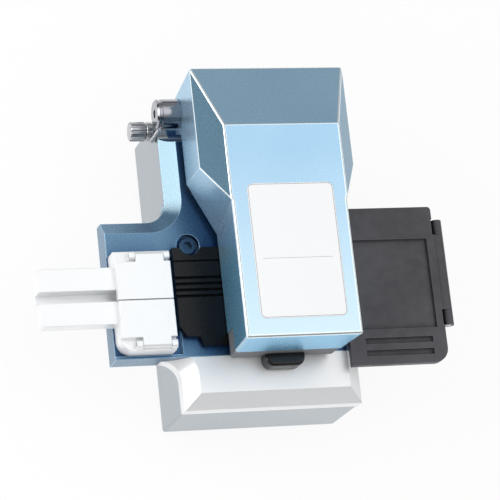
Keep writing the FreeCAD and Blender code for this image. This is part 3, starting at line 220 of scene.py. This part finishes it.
    def bump(self, heights, strength, distance):
        node = self.tree.nodes.new("ShaderNodeBump")
        node.inputs["Strength"].default_value = strength
        node.inputs["Distance"].default_value = distance
        self.link(heights, node.inputs["Height"])
        self.link(self.roundedNormal(sheetSizes["brokenEdge"]), node.inputs["Normal"])
        self.link(node.outputs["Normal"], self.shader.inputs["Normal"])


def linear(red, green, blue):
    # a colour given in 0 to 255 screen values, made straight by the screen's usual curve
    def straight(value):
        value = value / 255
        return value / 12.92 if value <= 0.04045 else ((value + 0.055) / 1.055) ** 2.4
    return straight(red), straight(green), straight(blue)


def scaled(colour, share):
    return tuple(share * part for part in colour)


# small helpers for geometry node trees

def sizedTree(name, sizes):
    # an empty tree with one named input for each size, and a material
    tree = bpy.data.node_groups.new(name, "GeometryNodeTree")
    for label, value in sizes.items():
        kind = "NodeSocketInt" if isinstance(value, int) else "NodeSocketFloat"
        socket = tree.interface.new_socket(label, in_out="INPUT", socket_type=kind)
        socket.default_value = value
    tree.interface.new_socket("Finish", in_out="INPUT", socket_type="NodeSocketMaterial")
    tree.interface.new_socket("Geometry", in_out="OUTPUT", socket_type="NodeSocketGeometry")
    given = tree.nodes.new("NodeGroupInput")
    result = tree.nodes.new("NodeGroupOutput")
    return tree, given, result


def finishTree(tree, given, result, geometry):
    # every tree ends with its copies made real and its material set
    real = tree.nodes.new("GeometryNodeRealizeInstances")
    paint = tree.nodes.new("GeometryNodeSetMaterial")
    tree.links.new(geometry, real.inputs[0])
    tree.links.new(real.outputs[0], paint.inputs["Geometry"])
    tree.links.new(given.outputs["Finish"], paint.inputs["Material"])
    tree.links.new(paint.outputs[0], result.inputs["Geometry"])


def meshFromTree(tree, sizes, material):
    carrier = bpy.data.objects.new("carrier", bpy.data.meshes.new("carrier"))
    bpy.context.scene.collection.objects.link(carrier)
    modifier = carrier.modifiers.new("made", "NODES")
    modifier.node_group = tree
    for item in tree.interface.items_tree:
        if item.in_out != "INPUT":
            continue
        if item.name in sizes:
            modifier[item.identifier] = sizes[item.name]
        elif item.name == "Finish":
            modifier[item.identifier] = material
    graph = bpy.context.evaluated_depsgraph_get()
    mesh = bpy.data.meshes.new_from_object(carrier.evaluated_get(graph))
    carrier.modifiers.remove(modifier)
    bpy.data.objects.remove(carrier)
    return mesh


# finishes

def mainFacets(node, smallest=20e-6, alike=0.9998):
    # the directions of a node's large flat faces, of at least that many square metres
    found = []
    for polygon in frame["nodes"][node].data.polygons:
        for entry in found:
            if entry[0].dot(polygon.normal) > alike:
                entry[1] += polygon.area
                break
        else:
            found.append([polygon.normal.copy(), polygon.area])
    return [tuple(normal) for normal, area in found if area > smallest]


# painted light on the lid: where its painted highlight, painted reflection and painted shade lie, and their
# colours
lidPaintedLight = {
    "rear": 22 * mm,
    "front": -38 * mm,
    # paler is the colour of the painted highlight towards the front of the top
    "paler": linear(208, 230, 240),
    "wallRear": 6 * mm,
    "wallFront": -6 * mm,
    "wallSlope": (0.3, 0.8),   # the normal's Z where a face counts as a wall, and where it no longer does
    "paintedWallReflection": linear(142, 208, 246),
    "cheekFacing": (0.82, 0, 0.57),
    "paintedCheekShade": linear(118, 156, 180),
}


def paintLidLight(sheet, tint):
    # painted light on the lid's dye: a painted highlight, paler towards the front on top, a painted
    # reflection in brighter cyan on the walls of its narrow half, and painted shade on its two upper cheeks
    place, normal = sheet.parts("Object"), sheet.parts("Normal")
    forward = sheet.remap(place["Y"], 1.0, 0.0, lidPaintedLight["front"], lidPaintedLight["rear"])
    tint = sheet.mixColour(forward, tint, lidPaintedLight["paler"])
    wall = sheet.remap(normal["Z"], 1.0, 0.0, *lidPaintedLight["wallSlope"])
    narrow = sheet.remap(place["Y"], 1.0, 0.0, lidPaintedLight["wallFront"], lidPaintedLight["wallRear"])
    tint = sheet.mixColour(sheet.math("MULTIPLY", wall, narrow), tint, lidPaintedLight["paintedWallReflection"])
    across, along, up = lidPaintedLight["cheekFacing"]
    cheeks = sheet.math("MAXIMUM", sheet.facing((-across, along, up)), sheet.facing((across, along, up)))
    return sheet.mixColour(cheeks, tint, lidPaintedLight["paintedCheekShade"])


# painted light on the deck: its painted shade under the lid's walls and its painted highlight on the left
# bevels
deckPaintedLight = {
    "shelterReach": 16 * mm,
    "shelterRange": (0.45, 0.95),
    "paintedShade": linear(26, 64, 108),
    "bevelFacing": (-0.707, 0, 0.707),
    "paintedBevelHighlight": linear(138, 164, 176),
}


def paintDeckLight(sheet, tint):
    # painted light on the deck's dye: painted shade in a darker blue where the lid's walls stand close over
    # it, and a pale painted highlight on its left-facing bevels
    openness = sheet.remap(sheet.shelter(deckPaintedLight["shelterReach"]), 0.0, 1.0, *deckPaintedLight["shelterRange"])
    tint = sheet.mixColour(openness, deckPaintedLight["paintedShade"], tint)
    return sheet.mixColour(sheet.facing(deckPaintedLight["bevelFacing"]), tint, deckPaintedLight["paintedBevelHighlight"])


blastSizes = {
    "patches": 28,             # noises and cells are given in how many there are to a metre
    "grain": 5200,
    "pits": 3120,
    "pitDepth": 0.004 * mm,
    # width of the edges that take the painted highlight
    "rimHighlightWidth": 0.4 * mm,
    "edgeGloss": 0.1,
}


def blastedAnodise(name, colour, darker, metallic=1.0, roughness=(0.24, 0.32), rimHighlight=None, facets=None,
                   grainStrength=0.06, paintedLight=None):
    # bead-blasted and dyed aluminium, with a painted highlight along its glossier edges where a rim colour is
    # given, and painted light and shade over the dye where a function for them is given
    sheet = NodeSheet(name)
    patches = sheet.noise(blastSizes["patches"], 4)
    grain = sheet.noise(blastSizes["grain"], 2)
    tint = sheet.mixColour(sheet.spread(patches), darker, colour)
    # painted light and shade laid over the dye
    if paintedLight:
        tint = paintedLight(sheet, tint)
    rough = sheet.spread(grain, *roughness)
    if rimHighlight:
        edge = sheet.facetMask(facets) if facets else sheet.edgeMask(blastSizes["rimHighlightWidth"])
        tint = sheet.mixColour(edge, tint, rimHighlight)
        rough = sheet.math("SUBTRACT", rough, sheet.math("MULTIPLY", edge, blastSizes["edgeGloss"]))
    sheet.put("Base Color", tint)
    sheet.put("Metallic", metallic)
    sheet.put("Roughness", rough)
    pits = sheet.cells(blastSizes["pits"])
    sheet.bump(sheet.math("ADD", grain, pits), grainStrength, blastSizes["pitDepth"])
    return sheet.material


plasticSizes = {
    "patches": 36,
    "smears": 320,
    "grain": 2400,
    "grainStrength": 0.25,
    "grainDepth": 0.03 * mm,
    # the edge mask serves both the painted edge highlight and the glossier edges that wear leaves
    "wearAndHighlightEdge": 0.3 * mm,
    "wearAndHighlightRange": (0.99, 0.9),
    "highlightShare": 0.35,
    "highlightPaler": 2.6,
    "wornGloss": 0.12,
    # painted shade in hollows and grooves
    "hollowReach": 2 * mm,
    "hollowLevels": (0.12, 1.0),
    "hollowRange": (0.55, 0.96),
}


def mouldedPlastic(name, colour, lighter, roughness=(0.42, 0.6)):
    # textured plastic, with painted shade in its hollows, a painted highlight along its edges, and edges that
    # handling has polished to more gloss
    sheet = NodeSheet(name)
    sizes = plasticSizes
    patches = sheet.noise(sizes["patches"], 3)
    edge = sheet.edgeMask(sizes["wearAndHighlightEdge"], *sizes["wearAndHighlightRange"])
    tint = sheet.mixColour(sheet.spread(patches), colour, lighter)
    paintedHollowShade = sheet.remap(sheet.shelter(sizes["hollowReach"]), *sizes["hollowLevels"], *sizes["hollowRange"])
    tint = sheet.mixColour(1.0, tint, paintedHollowShade, "MULTIPLY")
    edgeHighlight = sheet.math("MULTIPLY", edge, sizes["highlightShare"])
    sheet.put("Base Color", sheet.mixColour(edgeHighlight, tint, scaled(lighter, sizes["highlightPaler"])))
    rough = sheet.spread(sheet.noise(sizes["smears"], 3), *roughness)
    sheet.put("Roughness", sheet.math("SUBTRACT", rough, sheet.math("MULTIPLY", edge, sizes["wornGloss"])))
    sheet.bump(sheet.cells(sizes["grain"]), sizes["grainStrength"], sizes["grainDepth"])
    return sheet.material


steelSizes = {
    "lay": (60, 4000, 4000),   # fine turning marks round X
    "smears": 90,
    "smearShade": 0.86,
    "markStrength": 0.05,
    "markDepth": 0.01 * mm,
}


def turnedSteel(name, colour, roughness=(0.06, 0.16)):
    # bright steel with turning marks and faint smears
    sheet = NodeSheet(name)
    rings = sheet.noise(1.0, 2, 0.5, sheet.mapping(steelSizes["lay"]))
    smears = sheet.noise(steelSizes["smears"], 3)
    shade = scaled(colour, steelSizes["smearShade"])
    sheet.put("Base Color", sheet.mixColour(sheet.spread(smears), colour, shade))
    sheet.put("Metallic", 1.0)
    sheet.put("Roughness", sheet.spread(rings, *roughness))
    sheet.bump(rings, steelSizes["markStrength"], steelSizes["markDepth"])
    return sheet.material


rubberSizes = {
    "patches": 220,
    "patchPaler": 2.2,
    "smears": 700,
    "roughness": (0.62, 0.86),
    "skin": 1800,
    "skinShare": 0.3,
    "skinDepth": 0.03 * mm,
    "strength": 0.3,
    "dimpleDepth": 6.0,
    "dimpleWall": (0.22, 0.34),
    "treadPitch": 2.4 * mm,
    "treadDepth": 0.1 * mm,
}


def softRubber(name, colour, tread=None):
    # rubber, with rows of round dimples where tread says how far apart they are
    sheet = NodeSheet(name)
    sizes = rubberSizes
    paler = scaled(colour, sizes["patchPaler"])
    sheet.put("Base Color", sheet.mixColour(sheet.noise(sizes["patches"], 4), colour, paler))
    sheet.put("Roughness", sheet.spread(sheet.noise(sizes["smears"], 3), *sizes["roughness"]))
    skin, depth = sheet.cells(sizes["skin"]), sizes["skinDepth"]
    if tread:
        dimples = sheet.remap(sheet.cells(1 / tread, 0.0), 0.0, sizes["dimpleDepth"], *sizes["dimpleWall"])
        skin = sheet.math("ADD", dimples, sheet.math("MULTIPLY", skin, sizes["skinShare"]))
        depth = sizes["treadDepth"]
    sheet.bump(skin, sizes["strength"], depth)
    return sheet.material


labelPrint = {
    "corner": 1.5 * mm,
    "inset": 0.3 * mm,
    "line": 0.14 * mm,
    "ruleShare": 0.44,         # how far up the label its one hairline runs
    "ruleInset": 2.4 * mm,
    "patches": 60,
    "patchShade": 0.97,
    "smears": 900,
    "roughness": (0.3, 0.42),
    "fibres": 1500,
    "fibreStrength": 0.06,
    "fibreDepth": 0.01 * mm,
}


def printedLabel(name, colour, ink):
    # white film with a thin frame line and one hairline across it, and no words
    sheet = NodeSheet(name)
    low, high = nodeCorners("label_plate")
    sizes = labelPrint
    place = sheet.parts("Object")
    overs = []
    for axis in (0, 1):
        middle = (low[axis] + high[axis]) / 2
        half = (high[axis] - low[axis]) / 2 - sizes["corner"]
        away = sheet.math("ABSOLUTE", sheet.math("SUBTRACT", place[axis], middle))
        overs.append(sheet.math("SUBTRACT", away, half))
    outside = [sheet.math("POWER", sheet.math("MAXIMUM", over, 0.0), 2.0) for over in overs]
    cornerPart = sheet.math("SQRT", sheet.math("ADD", *outside))
    flatPart = sheet.math("MINIMUM", sheet.math("MAXIMUM", *overs), 0.0)
    depth = sheet.math("SUBTRACT", sizes["corner"], sheet.math("ADD", cornerPart, flatPart))
    frameLine = sheet.near(depth, sizes["inset"], sizes["line"] / 2)
    rule = sheet.near(place["Y"], low.y + (high.y - low.y) * sizes["ruleShare"], sizes["line"] / 3)
    rule = sheet.math("MULTIPLY", rule, sheet.math("GREATER_THAN", depth, sizes["ruleInset"]))
    paper = sheet.mixColour(sheet.noise(sizes["patches"], 2), colour, scaled(colour, sizes["patchShade"]))
    sheet.put("Base Color", sheet.mixColour(sheet.math("MAXIMUM", frameLine, rule), paper, ink))
    sheet.put("Roughness", sheet.spread(sheet.noise(sizes["smears"], 3), *sizes["roughness"]))
    sheet.bump(sheet.noise(sizes["fibres"], 2), sizes["fibreStrength"], sizes["fibreDepth"])
    return sheet.material


finishColours = {
    "lid": linear(170, 206, 231),
    "lidShade": linear(160, 198, 225),
    # colour of the painted highlight along the lid's rounded edges
    "lidRimHighlight": linear(240, 250, 254),
    "deck": linear(110, 145, 170),
    "deckShade": linear(98, 134, 162),
    "body": linear(176, 184, 190),
    "bodyShade": linear(168, 176, 183),
    "pale": linear(242, 243, 244),
    "paleShade": linear(238, 240, 241),
    "bin": linear(64, 63, 68),
    "binLight": linear(80, 79, 84),
    "bumper": linear(98, 100, 104),
    "bumperLight": linear(106, 108, 112),
    "tab": linear(14, 14, 15),
    "tabLight": linear(20, 20, 21),
    "guide": linear(24, 25, 27),
    "guideShade": linear(18, 18, 20),
    "rubber": linear(26, 26, 27),
    "tread": linear(24, 24, 25),
    "paper": linear(248, 249, 250),
    "ink": linear(138, 142, 150),
    "chrome": (0.42, 0.43, 0.47),      # the metals' colours are linear as they stand
    "spring": (0.62, 0.63, 0.66),
    "screw": (0.05, 0.055, 0.07),
    "screwBlued": (0.05, 0.1, 0.17),
    "carbide": (0.42, 0.42, 0.45),
    "machined": (0.66, 0.67, 0.69),
}

finishes = {
    "lidBlue": blastedAnodise("lidBlue", finishColours["lid"], finishColours["lidShade"], metallic=0.76,
                              rimHighlight=finishColours["lidRimHighlight"], facets=mainFacets("lid_shell"),
                              grainStrength=0.04, paintedLight=paintLidLight),
    # the deck's edges take the lid's paler blue as a painted highlight
    "deckBlue": blastedAnodise("deckBlue", finishColours["deck"], finishColours["deckShade"], metallic=0.7,
                               rimHighlight=finishColours["lid"], paintedLight=paintDeckLight),
    "bodySilver": blastedAnodise("bodySilver", finishColours["body"], finishColours["bodyShade"]),
    "paleSilver": blastedAnodise("paleSilver", finishColours["pale"], finishColours["paleShade"],
                                 metallic=0.35, roughness=(0.3, 0.36)),
    "guideBlack": blastedAnodise("guideBlack", finishColours["guide"], finishColours["guideShade"],
                                 metallic=0.6),
    "binPlastic": mouldedPlastic("binPlastic", finishColours["bin"], finishColours["binLight"]),
    "bumperPlastic": mouldedPlastic("bumperPlastic", finishColours["bumper"], finishColours["bumperLight"]),
    "tabPlastic": mouldedPlastic("tabPlastic", finishColours["tab"], finishColours["tabLight"], (0.2, 0.32)),
    "chrome": turnedSteel("chrome", finishColours["chrome"]),
    "springSteel": turnedSteel("springSteel", finishColours["spring"], (0.2, 0.34)),
    "screwBlack": turnedSteel("screwBlack", finishColours["screw"], (0.25, 0.4)),
    "screwBlued": turnedSteel("screwBlued", finishColours["screwBlued"], (0.2, 0.34)),
    "carbide": turnedSteel("carbide", finishColours["carbide"], (0.14, 0.24)),
    "machined": turnedSteel("machined", finishColours["machined"], (0.25, 0.4)),
    "rubber": softRubber("rubber", finishColours["rubber"]),
    "treadRubber": softRubber("treadRubber", finishColours["tread"], rubberSizes["treadPitch"]),
    "label": printedLabel("label", finishColours["paper"], finishColours["ink"]),
}

nodeFinish = {
    "lidBlue": ["lid_shell"],
    "deckBlue": ["top_deck", "hinge_block"],
    "bodySilver": ["lower_body", "bottom_cover", "bin_bracket", "anvil_housing"],
    "paleSilver": ["front_block", "holder_body", "rear_leaf", "front_leaf"],
    "guideBlack": ["guide_block", "exit_block", "lid_inner_plate"],
    "binPlastic": ["bin_box", "bin_lid"],
    "bumperPlastic": ["front_bumper"],
    "tabPlastic": ["finger_tab"],
    "chrome": ["hinge_pin", "linear_rail", "guide_rod", "blade_axle", "blade_nut", "bin_rod", "leaf_pins",
               "anvil_plunger", "lid_magnet", "strike_post"],
    "springSteel": ["brake_spring", "return_spring", "anvil_spring", "pin_clip", "spring_post"],
    "screwBlack": ["cover_screws", "block_screws", "hinge_screws", "inner_plate_screws"],
    "screwBlued": ["deck_screws"],
    "carbide": ["cutting_wheel"],
    "machined": ["blade_carriage"],
    "rubber": ["lower_clamp_pads", "upper_clamp_pads"],
    "treadRubber": ["base_pad"],
    "label": ["label_plate"],
}


def dressNodes():
    for finish, nodes in nodeFinish.items():
        for node in nodes:
            obj = frame["nodes"][node]
            for materialSlot in obj.material_slots:
                materialSlot.material = finishes[finish]


dressNodes()
print("finishes on the packed nodes")


# coil springs

# wire is the wire's radius, and hook is how far the riser's wire runs past its turns at each end
springSizes = {
    "brakeCoil": {"turns": 4.0, "wire": 0.35 * mm, "stepsPerTurn": 28, "aroundWire": 10},
    "brakeRiser": {"turns": 17.0, "wire": 0.17 * mm, "stepsPerTurn": 18, "aroundWire": 8, "reach": 0.44 * mm,
                   "hook": 1.1 * mm},
    "returnCoil": {"turns": 9.0, "wire": 0.5 * mm, "stepsPerTurn": 28, "aroundWire": 10, "travel": 17.0 * mm},
    "anvilCoil": {"turns": 5.0, "wire": 0.25 * mm, "stepsPerTurn": 28, "aroundWire": 8, "travel": 0.8 * mm},
    "smoothAngle": 50,
    "tip": ((0.4, 0.8), (0.1, 0.45)),  # how far below its end the wire narrows, in wires, and to what share
}


def coilTree():
    tree, given, result = sizedTree("coil", {"Steps": 28, "Turns": 5.0, "Coil Radius": 0.003, "Length": 0.01,
                                             "Wire Radius": 0.0004, "Around": 10})
    spiral = tree.nodes.new("GeometryNodeCurveSpiral")
    section = tree.nodes.new("GeometryNodeCurvePrimitiveCircle")
    sweep = tree.nodes.new("GeometryNodeCurveToMesh")
    sweep.inputs["Fill Caps"].default_value = True
    smooth = tree.nodes.new("GeometryNodeSetShadeSmooth")
    tree.links.new(given.outputs["Steps"], spiral.inputs["Resolution"])
    tree.links.new(given.outputs["Turns"], spiral.inputs["Rotations"])
    tree.links.new(given.outputs["Coil Radius"], spiral.inputs["Start Radius"])
    tree.links.new(given.outputs["Coil Radius"], spiral.inputs["End Radius"])
    tree.links.new(given.outputs["Length"], spiral.inputs["Height"])
    tree.links.new(given.outputs["Around"], section.inputs["Resolution"])
    tree.links.new(given.outputs["Wire Radius"], section.inputs["Radius"])
    tree.links.new(spiral.outputs["Curve"], sweep.inputs["Curve"])
    tree.links.new(section.outputs["Curve"], sweep.inputs["Profile Curve"])
    tree.links.new(sweep.outputs["Mesh"], smooth.inputs["Geometry"])
    finishTree(tree, given, result, smooth.outputs["Geometry"])
    return tree


coil = coilTree()


def makeCoil(name, sizes, start, direction, coilRadius, length):
    mesh = meshFromTree(coil, {"Steps": sizes["stepsPerTurn"], "Turns": sizes["turns"],
                               "Coil Radius": coilRadius, "Length": length, "Wire Radius": sizes["wire"],
                               "Around": sizes["aroundWire"]}, finishes["springSteel"])
    turn = Vector((0, 0, 1)).rotation_difference(Vector(direction)).to_matrix().to_4x4()
    mesh.transform(Matrix.Translation(Vector(start)) @ turn)
    mesh.name = name
    return mesh


def addLeg(work, sizes, x, y, bottom, top):
    # the wire that runs up through the riser to its two ends, with a rounded tip
    around, wire = sizes["aroundWire"], sizes["wire"]
    tip = [(top - wire * below, share) for below, share in springSizes["tip"]]
    rings = []
    for height, share in ((bottom, 1.0), (top - wire, 1.0), *tip):
        ring = []
        for step in range(around):
            angle = 2 * math.pi * step / around
            ring.append(work.verts.new((x + wire * share * math.cos(angle), y + wire * share * math.sin(angle),
                                        height)))
        rings.append(ring)
    for lower, upper in zip(rings, rings[1:]):
        for step in range(around):
            after = (step + 1) % around
            work.faces.new((lower[step], lower[after], upper[after], upper[step]))
    work.faces.new(rings[-1])
    work.faces.new(rings[0][::-1])


def makeBrakeCoil():
    # the coil wound round its post, and the small riser from the post's neck up to the hinge pin's groove
    low, high = nodeCorners("brake_spring")
    postLow, postHigh = nodeCorners("spring_post")
    sizes = springSizes["brakeCoil"]
    middleZ = (postLow.z + postHigh.z) / 2
    middleY = (postLow.y + postHigh.y) / 2
    reach = middleZ - low.z - sizes["wire"]
    start = (low.x + sizes["wire"], middleY, middleZ)
    length = high.x - low.x - 2 * sizes["wire"]
    mesh = makeCoil("brakeCoil", sizes, start, (1, 0, 0), reach, length)
    riser = springSizes["brakeRiser"]
    outer = riser["reach"] + riser["wire"]
    riserX, riserY = high.x - outer, low.y - outer + sizes["wire"] / 2
    bottom, top = middleZ + riser["hook"], high.z - riser["hook"]
    riserMesh = makeCoil("riser", riser, (riserX, riserY, bottom), (0, 0, 1), riser["reach"], top - bottom)
    work = bmesh.new()
    work.from_mesh(mesh)
    work.from_mesh(riserMesh)
    addLeg(work, riser, riserX, riserY, middleZ, high.z)
    work.to_mesh(mesh)
    work.free()
    bpy.data.meshes.remove(riserMesh)
    shadeSmooth(mesh, springSizes["smoothAngle"])
    piece = newPiece("brakeCoil", mesh, "base", finishes["springSteel"])
    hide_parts("brake_spring")


def makePressedCoil(name, node, body, away):
    # a compression spring, wound from its fixed end; away points from that end
    sizes = springSizes[name]
    low, high = nodeCorners(node)
    middle, half, direction = (low + high) / 2, (high - low) / 2, Vector(away)
    reach = abs(half.dot(direction))
    fixedEnd = middle - direction * reach
    mesh = makeCoil(name, sizes, fixedEnd + direction * sizes["wire"], direction, half.x - sizes["wire"],
                    2 * (reach - sizes["wire"]))
    shadeSmooth(mesh, springSizes["smoothAngle"])
    piece = newPiece(name, mesh, body, finishes["springSteel"])
    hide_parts(node)
    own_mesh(piece)


makeBrakeCoil()
makePressedCoil("returnCoil", "return_spring", "base", (0, 1, 0))
makePressedCoil("anvilCoil", "anvil_spring", "lid", (0, 0, -1))
print("springs wound")


# curved lining of the hinge recess, which closes the body under the hinge

linerSizes = {
    "reliefRadius": 7.65 * mm,
    "thickness": 0.5 * mm,
    "sideGap": 0.1 * mm,
    "wall": 3.0 * mm,          # of the lower body, which the lining fits between
    "steps": 12,
    "smoothAngle": 30,
}


def makeRecessLiner():
    sizes = linerSizes
    hinge = next(joint for joint in frame["joints"] if joint["name"] == "lid_hinge")
    axisY, axisZ = hinge["pos_m"][1], hinge["pos_m"][2]
    bodyLow, bodyHigh = nodeCorners("lower_body")
    wall, gap, radius = sizes["wall"], sizes["sideGap"], sizes["reliefRadius"]
    left, right = bodyLow.x + wall + gap, bodyHigh.x - wall - gap
    # angles about the hinge from straight up, round the front and under it to the rear wall
    start = -math.acos((bodyHigh.z - gap - axisZ) / radius)
    end = -math.pi - math.asin((bodyHigh.y - wall - gap - axisY) / radius)
    work = bmesh.new()
    loops = []
    for x in (left, right):
        for reach in (radius, radius + sizes["thickness"]):
            loop = []
            for step in range(sizes["steps"] + 1):
                angle = start + (end - start) * step / sizes["steps"]
                y, z = axisY + reach * math.sin(angle), axisZ + reach * math.cos(angle)
                loop.append(work.verts.new((x, y, z)))
            loops.append(loop)
    nearTop, nearUnder, farTop, farUnder = loops
    for step in range(sizes["steps"]):
        after = step + 1
        work.faces.new((nearTop[step], nearTop[after], farTop[after], farTop[step]))
        work.faces.new((nearUnder[step], farUnder[step], farUnder[after], nearUnder[after]))
        work.faces.new((nearTop[step], nearUnder[step], nearUnder[after], nearTop[after]))
        work.faces.new((farTop[step], farTop[after], farUnder[after], farUnder[step]))
    for step in (0, sizes["steps"]):
        work.faces.new((nearTop[step], farTop[step], farUnder[step], nearUnder[step]))
    bmesh.ops.recalc_face_normals(work, faces=work.faces)
    mesh = bpy.data.meshes.new("recessLiner")
    work.to_mesh(mesh)
    work.free()
    shadeSmooth(mesh, sizes["smoothAngle"])
    newPiece("recessLiner", mesh, "base", finishes["deckBlue"])


makeRecessLiner()
print("hinge recess lined")


# floor, light and camera

cameraView = {
    "right": (0.959, -0.1058, 0.264),
    "up": (0.0285, 0.9593, 0.2808),
    "target": (-3.2 * mm, 1.7 * mm, 31 * mm),
    "distance": 0.72,
    "lens": 190,
    "sensor": 36,
}

studio = {
    "floorSize": 3.0,
    "floorDrop": 0.02 * mm,    # the floor lies just under the pad
    "floorWhite": 0.93,
    "floorRoughness": 0.9,
    "floorGlow": 0.9,
    "skyAxis": (0.46, 0.1, 0.85),
    "skyLow": 0.38,
    "skyHigh": 1.36,
    "skyStart": 0.74,
    "skyEnd": 0.97,
    "aim": (0, 0, 0.04),
    "topBox": {"place": (0.1, -0.05, 0.85), "size": (0.9, 0.9), "power": 1.0, "mirrored": False},
    "frontFill": {"place": (-0.2, -0.75, 0.3), "size": (0.5, 0.5), "power": 1.9, "mirrored": False},
    "leftStrip": {"place": (-0.75, 0.2, 0.38), "size": (1.0, 0.36), "power": 4.6, "mirrored": True},
    "leftCard": {"place": (-0.32, 0.02, 0.045), "along": (0, 1, 0), "size": (0.9, 0.085)},
    "frontCard": {"place": (0.05, -0.3, 0.2), "along": (1, 0, 0), "size": (0.8, 0.34)},
    "rearCard": {"place": (0.1, 0.45, 0.04), "along": (1, 0, 0), "size": (0.8, 0.08)},
    "cardDark": 0.02,
}


def makeFloor():
    mesh = bpy.data.meshes.new("floor")
    half = studio["floorSize"] / 2
    low = -studio["floorDrop"]
    mesh.from_pydata([(-half, -half, low), (half, -half, low), (half, half, low), (-half, half, low)], [],
                     [(0, 1, 2, 3)])
    floor = bpy.data.objects.new("floor", mesh)
    bpy.context.scene.collection.objects.link(floor)
    material = bpy.data.materials.new("floorWhite")
    material.use_nodes = True
    tree = material.node_tree
    shader = tree.nodes["Principled BSDF"]
    white = studio["floorWhite"]
    shader.inputs["Base Color"].default_value = (white, white, white, 1)
    shader.inputs["Roughness"].default_value = studio["floorRoughness"]
    glow = tree.nodes.new("ShaderNodeEmission")
    glow.inputs["Color"].default_value = (1, 1, 1, 1)
    rays = tree.nodes.new("ShaderNodeLightPath")
    mix = tree.nodes.new("ShaderNodeMixShader")
    both = tree.nodes.new("ShaderNodeMath")
    both.operation = "MAXIMUM"
    tree.links.new(rays.outputs["Is Camera Ray"], both.inputs[0])
    tree.links.new(rays.outputs["Is Glossy Ray"], both.inputs[1])
    level = tree.nodes.new("ShaderNodeMath")
    level.operation = "MULTIPLY"
    level.inputs[1].default_value = studio["floorGlow"]
    tree.links.new(both.outputs[0], level.inputs[0])
    tree.links.new(level.outputs[0], mix.inputs["Fac"])
    tree.links.new(shader.outputs["BSDF"], mix.inputs[1])
    tree.links.new(glow.outputs["Emission"], mix.inputs[2])
    surface = tree.nodes["Material Output"].inputs["Surface"]
    tree.links.new(mix.outputs["Shader"], surface)
    mesh.materials.append(material)


def makeWorld():
    world = bpy.data.worlds.new("studio")
    bpy.context.scene.world = world
    world.use_nodes = True
    tree = world.node_tree
    background = tree.nodes["Background"]
    background.inputs["Color"].default_value = (1, 1, 1, 1)
    # a room with one broad bright ceiling panel behind the right shoulder of the object
    direction = tree.nodes.new("ShaderNodeTexCoord")
    towards = tree.nodes.new("ShaderNodeVectorMath")
    towards.operation = "DOT_PRODUCT"
    towards.inputs[1].default_value = Vector(studio["skyAxis"]).normalized()
    level = tree.nodes.new("ShaderNodeMapRange")
    level.interpolation_type = "SMOOTHSTEP"
    level.inputs["From Min"].default_value = studio["skyStart"]
    level.inputs["From Max"].default_value = studio["skyEnd"]
    level.inputs["To Min"].default_value = studio["skyLow"]
    level.inputs["To Max"].default_value = studio["skyHigh"]
    tree.links.new(direction.outputs["Generated"], towards.inputs[0])
    tree.links.new(towards.outputs["Value"], level.inputs["Value"])
    tree.links.new(level.outputs["Result"], background.inputs["Strength"])


def makeLamp(name):
    # mirrored says whether metal shows the lamp or only takes its light
    sizes = studio[name]
    lamp = bpy.data.lights.new(name, "AREA")
    lamp.shape = "RECTANGLE"
    lamp.size, lamp.size_y = sizes["size"]
    lamp.energy = sizes["power"]
    obj = bpy.data.objects.new(name, lamp)
    bpy.context.scene.collection.objects.link(obj)
    obj.location = sizes["place"]
    aim = Vector(studio["aim"]) - Vector(sizes["place"])
    obj.rotation_euler = aim.to_track_quat("-Z", "Y").to_euler()
    obj.visible_glossy = sizes["mirrored"]


def makeCard(name):
    # a dark upright card that only reflections see, so that bevels and chrome read as such
    sizes = studio[name]
    middle, along = Vector(sizes["place"]), Vector(sizes["along"]) * sizes["size"][0] / 2
    rise = Vector((0, 0, sizes["size"][1] / 2))
    mesh = bpy.data.meshes.new(name)
    corners = [middle - along - rise, middle + along - rise, middle + along + rise, middle - along + rise]
    mesh.from_pydata([tuple(corner) for corner in corners], [], [(0, 1, 2, 3)])
    card = bpy.data.objects.new(name, mesh)
    bpy.context.scene.collection.objects.link(card)
    card.visible_camera = False
    card.visible_diffuse = False
    card.visible_shadow = False
    material = bpy.data.materials.new(name)
    material.use_nodes = True
    dark = studio["cardDark"]
    material.node_tree.nodes["Principled BSDF"].inputs["Base Color"].default_value = (dark, dark, dark, 1)
    mesh.materials.append(material)


def makeCamera():
    right = Vector(cameraView["right"]).normalized()
    back = right.cross(Vector(cameraView["up"])).normalized()
    up = back.cross(right)
    data = bpy.data.cameras.new("camera")
    data.lens = cameraView["lens"]
    data.sensor_width = cameraView["sensor"]
    camera = bpy.data.objects.new("camera", data)
    bpy.context.scene.collection.objects.link(camera)
    turn = Matrix((right, up, back)).transposed().to_4x4()
    place = Vector(cameraView["target"]) + back * cameraView["distance"]
    camera.matrix_world = Matrix.Translation(place) @ turn
    bpy.context.scene.camera = camera


makeFloor()
makeWorld()
for lampName in ("topBox", "leftStrip", "frontFill"):
    makeLamp(lampName)
for cardName in ("leftCard", "frontCard", "rearCard"):
    makeCard(cardName)
makeCamera()
bpy.context.scene.view_settings.view_transform = "Standard"
print("stage, lamps and camera set")
